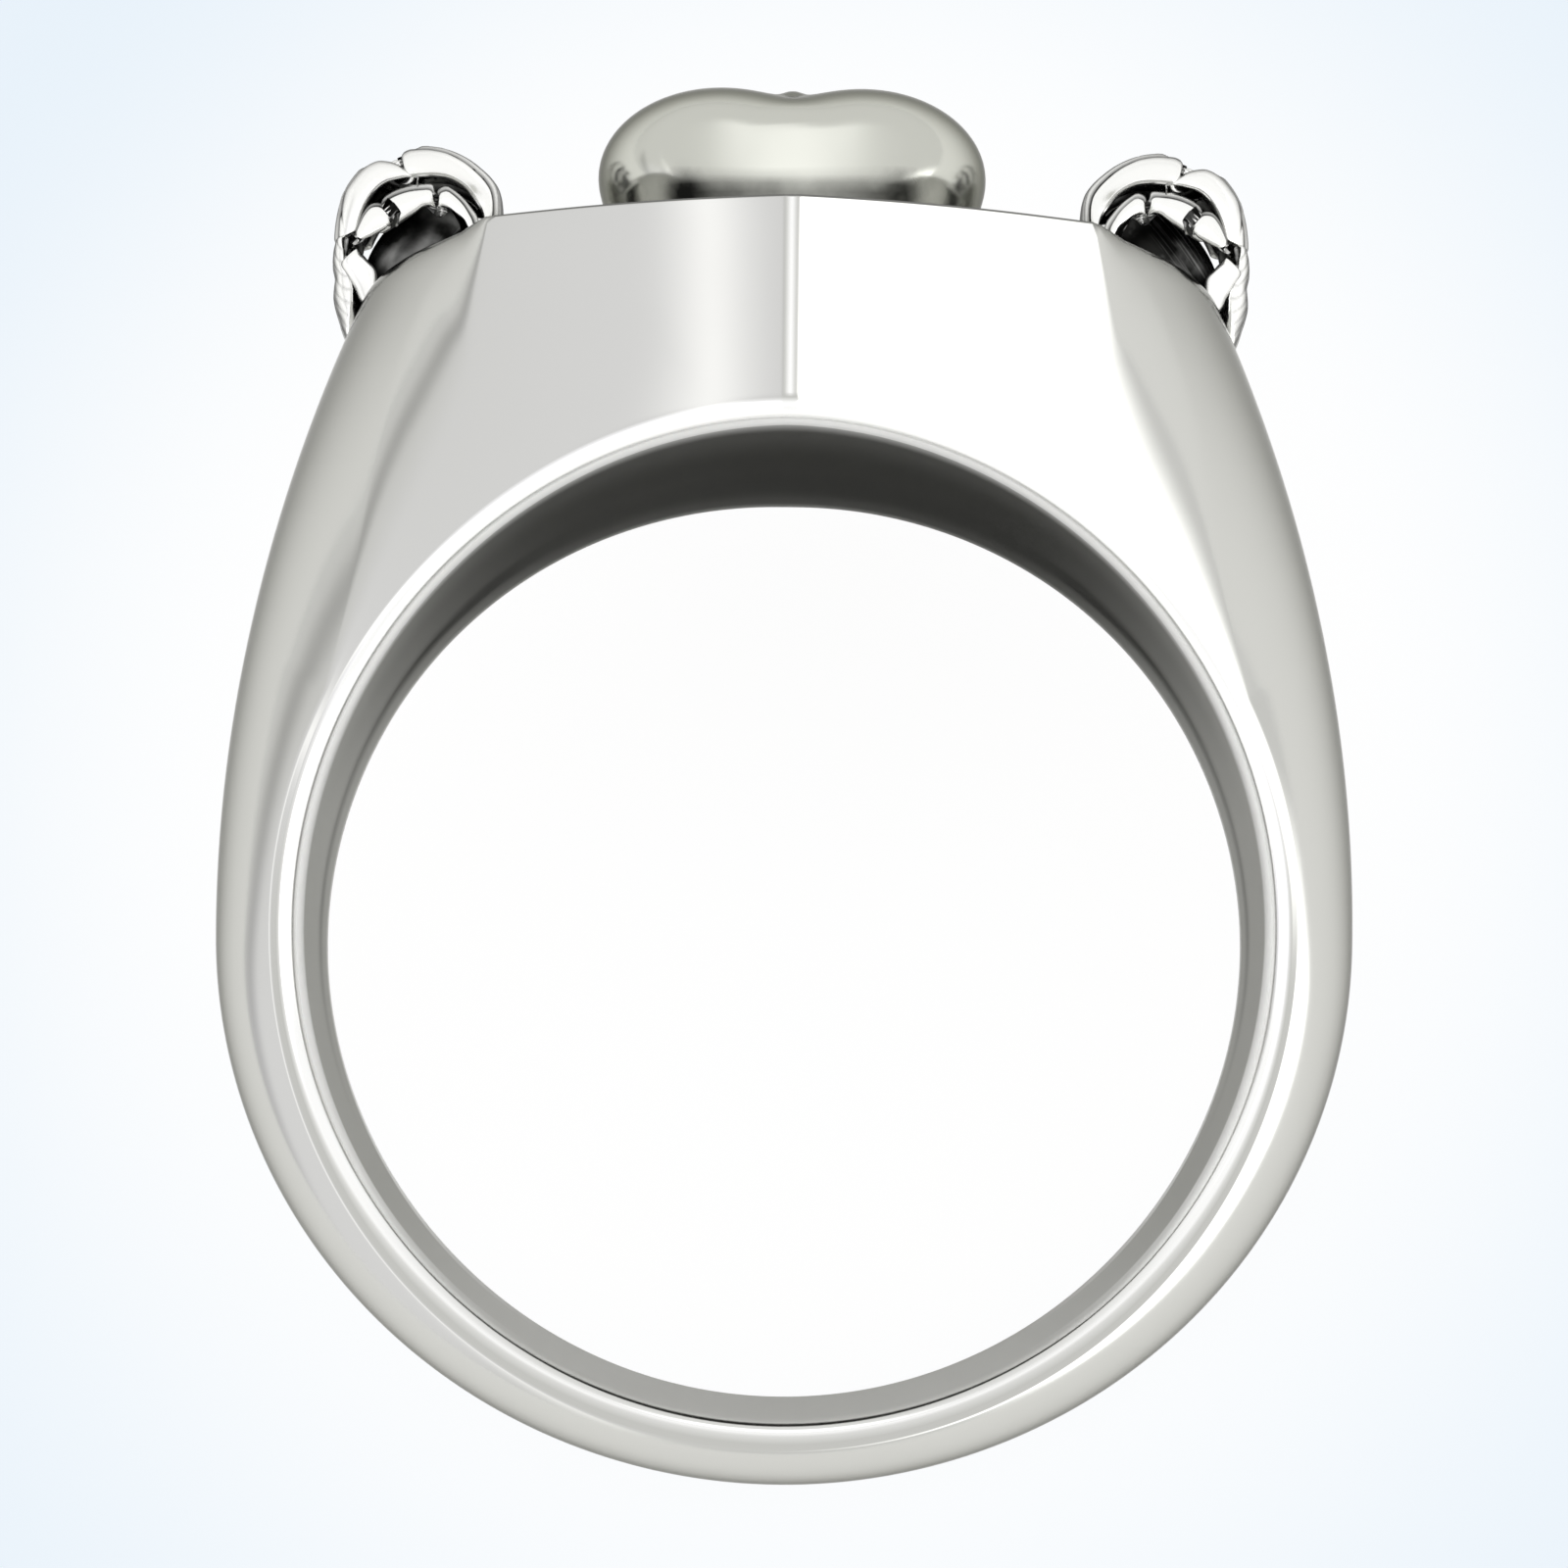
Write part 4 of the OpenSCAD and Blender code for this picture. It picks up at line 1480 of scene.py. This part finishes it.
        def shade(u: np.ndarray, v: np.ndarray, layer: np.ndarray) -> np.ndarray:
            """The petal's recess values: painted shade in its grooves and laps, towards its rolled-under
            edge, and all over its inner side.
            """
            dark = surface(u, v)[3]
            tucked = 0.5 * ease((np.abs(spread(u, v)[1]) - 0.86) / 0.2)
            return np.where(layer > 0.5, np.maximum(dark, tucked), self.inside_dark)

        self.slab(bm, skin, shade, petal.steps, petal.thick, (*self.middle, 0.0), far)

    def bud(self, bm: bmesh.types.BMesh) -> None:
        """Adds the small curved petals of the bud, which wrap round the rose's axis."""
        axis, aside = np.array([*self.up, 0]), np.array([*self.aside, 0])
        near = np.array([0, 0, 1.0])
        heart = np.array([*self.middle, 0]) + aside * self.bud_aside
        for wall in self.bud_walls:

            def skin(u: np.ndarray, v: np.ndarray) -> np.ndarray:
                """The outer skin of one wall of the bud."""
                a = np.radians(wall.start + (u + 1) / 2 * wall.sweep)
                r = wall.radius + 0.05 * (u + 1) / 2 + 0.04 * v * np.abs(v) + 0.03 * ease(v)
                h = self.bud_height + wall.rise - 0.3 + 0.3 * v - 0.07 * u * u * (v + 1) / 2
                return (
                    heart
                    + axis * h[:, None]
                    + aside * (0.92 * r * np.cos(a))[:, None]
                    + near * (1.08 * r * np.sin(a))[:, None]
                )

            def shade(u: np.ndarray, v: np.ndarray, layer: np.ndarray) -> np.ndarray:
                """The painted shade on one wall of the bud, darkest low down."""
                return 0.95 * ease((0.8 - v) / 0.6)

            self.slab(bm, skin, shade, self.bud_steps, self.bud_t, heart)

    def leaf(self, bm: bmesh.types.BMesh, far: bool) -> None:
        """Adds one of the two leaves that lie along the flat top, beside the rose.

        Args:
            bm: The mesh that it joins.
            far: Whether it is the twin on the far side.
        """
        root, tip = np.array(self.leaf_root), np.array(self.leaf_tip)
        length = float(np.linalg.norm(tip - root))
        way = (tip - root) / length
        up = np.array([0, 1.0, 0])
        aside = np.cross(up, way)

        def half_at(t: np.ndarray) -> np.ndarray:
            """Half of the leaf's width at shares t of its length."""
            return self.leaf_half * leaf_width(t, self.leaf_span, self.leaf_blunt)

        def skin(u: np.ndarray, v: np.ndarray) -> np.ndarray:
            """The leaf's upper skin, folded at its midrib."""
            t = (u + 1) / 2
            half = half_at(t)
            depth, _ = self.veins(t, v * half, length)
            rise = self.leaf_fold * np.abs(v) * half + self.leaf_bow * np.sin(math.pi * t) - depth
            return root + way * (t * length)[:, None] + aside * (v * half)[:, None] + up * rise[:, None]

        def shade(u: np.ndarray, v: np.ndarray, layer: np.ndarray) -> np.ndarray:
            """The leaf's recess values: painted shade beside its midrib and along its veins, and all over its
            underside.
            """
            t = (u + 1) / 2
            return np.where(layer > 0.5, self.veins(t, v * half_at(t), length)[1], self.inside_dark)

        self.slab(bm, skin, shade, self.leaf_steps, self.leaf_t, root - 10 * up, far)

    def core(self, bm: bmesh.types.BMesh) -> None:
        """Adds the dark heart under the petals, a dark body that stands for the shade in the hollow under
        them, with fine painted streaks of reflection along it.
        """
        columns, rings = self.core_steps
        made = bmesh.ops.create_uvsphere(bm, u_segments=columns, v_segments=rings, radius=1.0)["verts"]
        recess, strand = bm.verts.layers.float[RECESS], bm.verts.layers.float[STRAND]
        across = bm.loops.layers.uv[STRAND]
        tilt = Matrix.Rotation(math.radians(self.side * self.core_lean), 3, "Z")
        (wide, long, deep), (x, y) = self.core_half, self.core_middle
        for face in {f for vert in made for f in vert.link_faces}:
            for loop in face.loops:
                loop[across].uv = (loop.vert.co.x, loop.vert.co.y)
        for vert in made:
            way = vert.co.copy()
            spot = tilt @ Vector((way.x * wide, way.y * long, 0))
            vert[recess] = self.core_dark
            vert[strand] = 1.0
            vert.co = (self.side * x + spot.x, y + spot.y, way.z * deep)

    def shape(self) -> bmesh.types.BMesh:
        """Builds the whole rose.

        Returns:
            The rose on the upright ring, in millimetres.
        """
        bm = bmesh.new()
        bm.verts.layers.float.new(RECESS)
        bm.verts.layers.float.new(STRAND)
        bm.loops.layers.uv.new(STRAND)
        for petal in self.petals:
            self.petal(bm, petal)
            if not petal.whole:
                self.petal(bm, petal, far=True)
        self.bud(bm)
        for far in (False, True):
            self.leaf(bm, far)
        self.core(bm)
        return bm


# The studio


@dataclass(frozen=True)
class Window:
    """A soft-edged patch of the studio that is brighter or darker than the room.

    Attributes:
        way: Direction from the ring to it, on the upright ring's axes.
        half: Half of its width and of its height, in degrees.
        soft: How far its sides, and its top and bottom, fade out, in degrees.
        glow: How much brighter than the room it is, in red, green and blue; less than
            0 is darker.
    """

    way: tuple[float, float, float]
    half: tuple[float, float]
    soft: tuple[float, float]
    glow: tuple[float, float, float]


class FloorTone(Enum):
    """Colours of the pale floor, under the ring and far from it."""

    NEAR = (1.0, 1.0, 1.0, 1.0)
    FAR = (0.80, 0.88, 0.955, 1.0)


@dataclass
class Studio:
    """The camera, the soft lights and the pale floor.

    Attributes:
        pose: Where the upright ring lies.
        groups: The shared node groups.
        eye: The camera's place on the upright ring's axes, in millimetres.
        lens: Its focal length, in millimetres.
        roll: Its turn about its own axis, in degrees.
        floor_r: Radius of the floor, in metres.
        floor_white: Colour of the floor as the ring mirrors it.
        floor_glow: How far the camera sees the floor as evenly lit, from 0 to 1.
        fade: Where its colour starts to fade and where it has faded, in metres.
        fade_shape: How the fade's rings are stretched across and along the floor.
        fade_shift: How far the fade's middle lies off the floor's, in metres.
        overhead_far: Height of the softbox, in metres.
        overhead_size: Its width, in metres.
        overhead_watts: Its power.
        room: Brightness and colour of the room.
        windows: The brighter and darker patches of the room.
    """

    pose: RestPose
    groups: NodeGroups
    eye: tuple[float, float, float] = (-0.034, 3.16, 62.0)
    lens: float = 70.17
    roll: float = 0.6
    floor_r: float = 1.2
    floor_white: tuple[float, float, float] = (0.88, 0.88, 0.87)
    floor_glow: float = 0.96
    fade: tuple[float, float] = (0.011, 0.026)
    fade_shape: tuple[float, float, float] = (1.0, 0.87, 1.0)
    fade_shift: tuple[float, float, float] = (0.0006, -0.003, 0.0)
    overhead_far: float = 1.5
    overhead_size: float = 1.0
    overhead_watts: float = 4.5
    room: tuple[float, float, float] = (1.0, 1.0, 0.99)
    windows: tuple[Window, ...] = (
        Window((0.70, -0.56, 0.44), (38, 22), (8, 9), (1.9, 1.9, 1.9)),
        Window((-0.70, -0.56, 0.44), (36, 24), (12, 12), (0.18, 0.175, 0.21)),
        Window((-0.52, -0.56, 0.64), (3, 34), (9, 18), (0.85, 0.85, 0.84)),
        Window((0.0, 0.37, 0.93), (7.5, 10), (1.5, 2.5), (0.72, 0.72, 0.73)),
        Window((-0.97, -0.22, 0.05), (5, 24), (5, 10), (-0.36, -0.36, -0.36)),
    )

    def camera(self) -> None:
        """Sets the camera where the photograph was taken from."""
        made = bpy.data.objects.new("camera", bpy.data.cameras.new("camera"))
        made.data.sensor_width = 36.0
        made.data.lens = self.lens
        made.data.clip_start = 0.002
        made.data.clip_end = 20.0
        turn = self.pose.turn @ Matrix.Rotation(math.radians(self.roll), 4, "Z")
        made.matrix_world = Matrix.Translation(self.pose.matrix @ Vector(self.eye)) @ turn
        bpy.context.scene.collection.objects.link(made)
        bpy.context.scene.camera = made

    def overhead(self) -> None:
        """Hangs one wide softbox over the ring, behind the camera."""
        data = bpy.data.lights.new("overhead", "AREA")
        data.shape = "DISK"
        data.size = self.overhead_size
        data.energy = self.overhead_watts
        made = bpy.data.objects.new("overhead", data)
        made.location = (0.0, 0.0, self.overhead_far)
        made.visible_glossy = False
        bpy.context.scene.collection.objects.link(made)

    def floor(self) -> None:
        """Lays the pale floor."""
        bm = bmesh.new()
        bmesh.ops.create_circle(bm, cap_ends=True, segments=96, radius=self.floor_r)
        mesh = bpy.data.meshes.new("floor")
        bm.to_mesh(mesh)
        bm.free()
        made = bpy.data.objects.new("floor", mesh)
        bpy.context.scene.collection.objects.link(made)
        mesh.materials.append(self.floor_finish())

    def floor_finish(self) -> bpy.types.Material:
        """Matte white, which the camera sees turn faintly blue away from the ring."""
        made = bpy.data.materials.new("pale_floor")
        made.use_nodes = True
        w = Wiring(made.node_tree)
        matte = w.nodes["Principled BSDF"]
        w.fill(matte, {"Base Color": (*self.floor_white, 1.0), "Roughness": 0.9, "Specular IOR Level": 0.1})
        place = w.add("TexCoord")["Object"]
        from_middle = w.vector_math("MULTIPLY_ADD", place, self.fade_shape, self.fade_shift)["Vector"]
        far = w.vector_math("LENGTH", from_middle)["Value"]
        faded = {"Value": far, "From Min": self.fade[0], "From Max": self.fade[1]}
        share = w.add("MapRange", faded, interpolation_type="SMOOTHSTEP")["Result"]
        colour = w.blend(FloorTone.NEAR.value, FloorTone.FAR.value, share)
        even = w.add("Emission", {"Color": colour})["Emission"]
        seen = w.math("MULTIPLY", w.add("LightPath")["Is Camera Ray"], self.floor_glow)
        both = w.add("MixShader", {"Fac": seen, 1: matte.outputs["BSDF"], 2: even})["Shader"]
        w.fill(w.nodes["Material Output"], {"Surface": both})
        return made

    def world(self) -> None:
        """Sets the soft room that the silver mirrors, with its windows."""
        room = bpy.data.worlds.new("room")
        bpy.context.scene.world = room
        room.use_nodes = True
        w = Wiring(room.node_tree)
        way = w.add("TexCoord")["Generated"]
        total = self.room
        for window in self.windows:
            facing = self.pose.direction(*window.way)
            across = facing.cross(self.pose.direction(0, 1, 0)).normalized()
            patch = {
                "Way": way,
                "Facing": facing,
                "Across": across,
                "Up": across.cross(facing),
                "Half width": math.radians(window.half[0]),
                "Half height": math.radians(window.half[1]),
                "Soft sides": math.radians(window.soft[0]),
                "Soft ends": math.radians(window.soft[1]),
                "Glow": window.glow,
            }
            light = w.effect(self.groups.soft_window(), patch)
            total = w.vector_math("ADD", total, light)["Vector"]
        seen = w.blend(total, FloorTone.FAR.value, w.add("LightPath")["Is Camera Ray"])
        w.fill(w.nodes["Background"], {"Color": seen})

    def build(self) -> None:
        """Sets up everything round the ring."""
        self.camera()
        self.world()
        self.overhead()
        self.floor()
        bpy.context.scene.view_settings.view_transform = "Standard"


def main() -> None:
    """Builds the ring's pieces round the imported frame, and the studio round them."""
    logging.basicConfig(level=logging.INFO, format="%(name)s: %(message)s")
    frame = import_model()
    pose = RestPose.from_record(frame["record"])
    groups = NodeGroups()
    band_silver = BAND_SILVER.material(groups)
    skull_silver = SKULL_SILVER.material(groups)
    rose_silver = ROSE_SILVER.material(groups)

    band = Band()
    finish_piece("band", band.shape(), pose, band_silver)
    skull = Skull(band.top_y)
    for name, bm in (("skull", skull.bone()), ("teeth", skull.teeth())):
        bmesh.ops.transform(bm, matrix=skull.place, verts=bm.verts)
        finish_piece(name, bm, pose, skull_silver)

    for name, side in (("rose_left", -1.0), ("rose_right", 1.0)):
        finish_piece(name, Rose(side).shape(), pose, rose_silver)

    Studio(pose, groups).build()


if __name__ == "__main__":
    main()
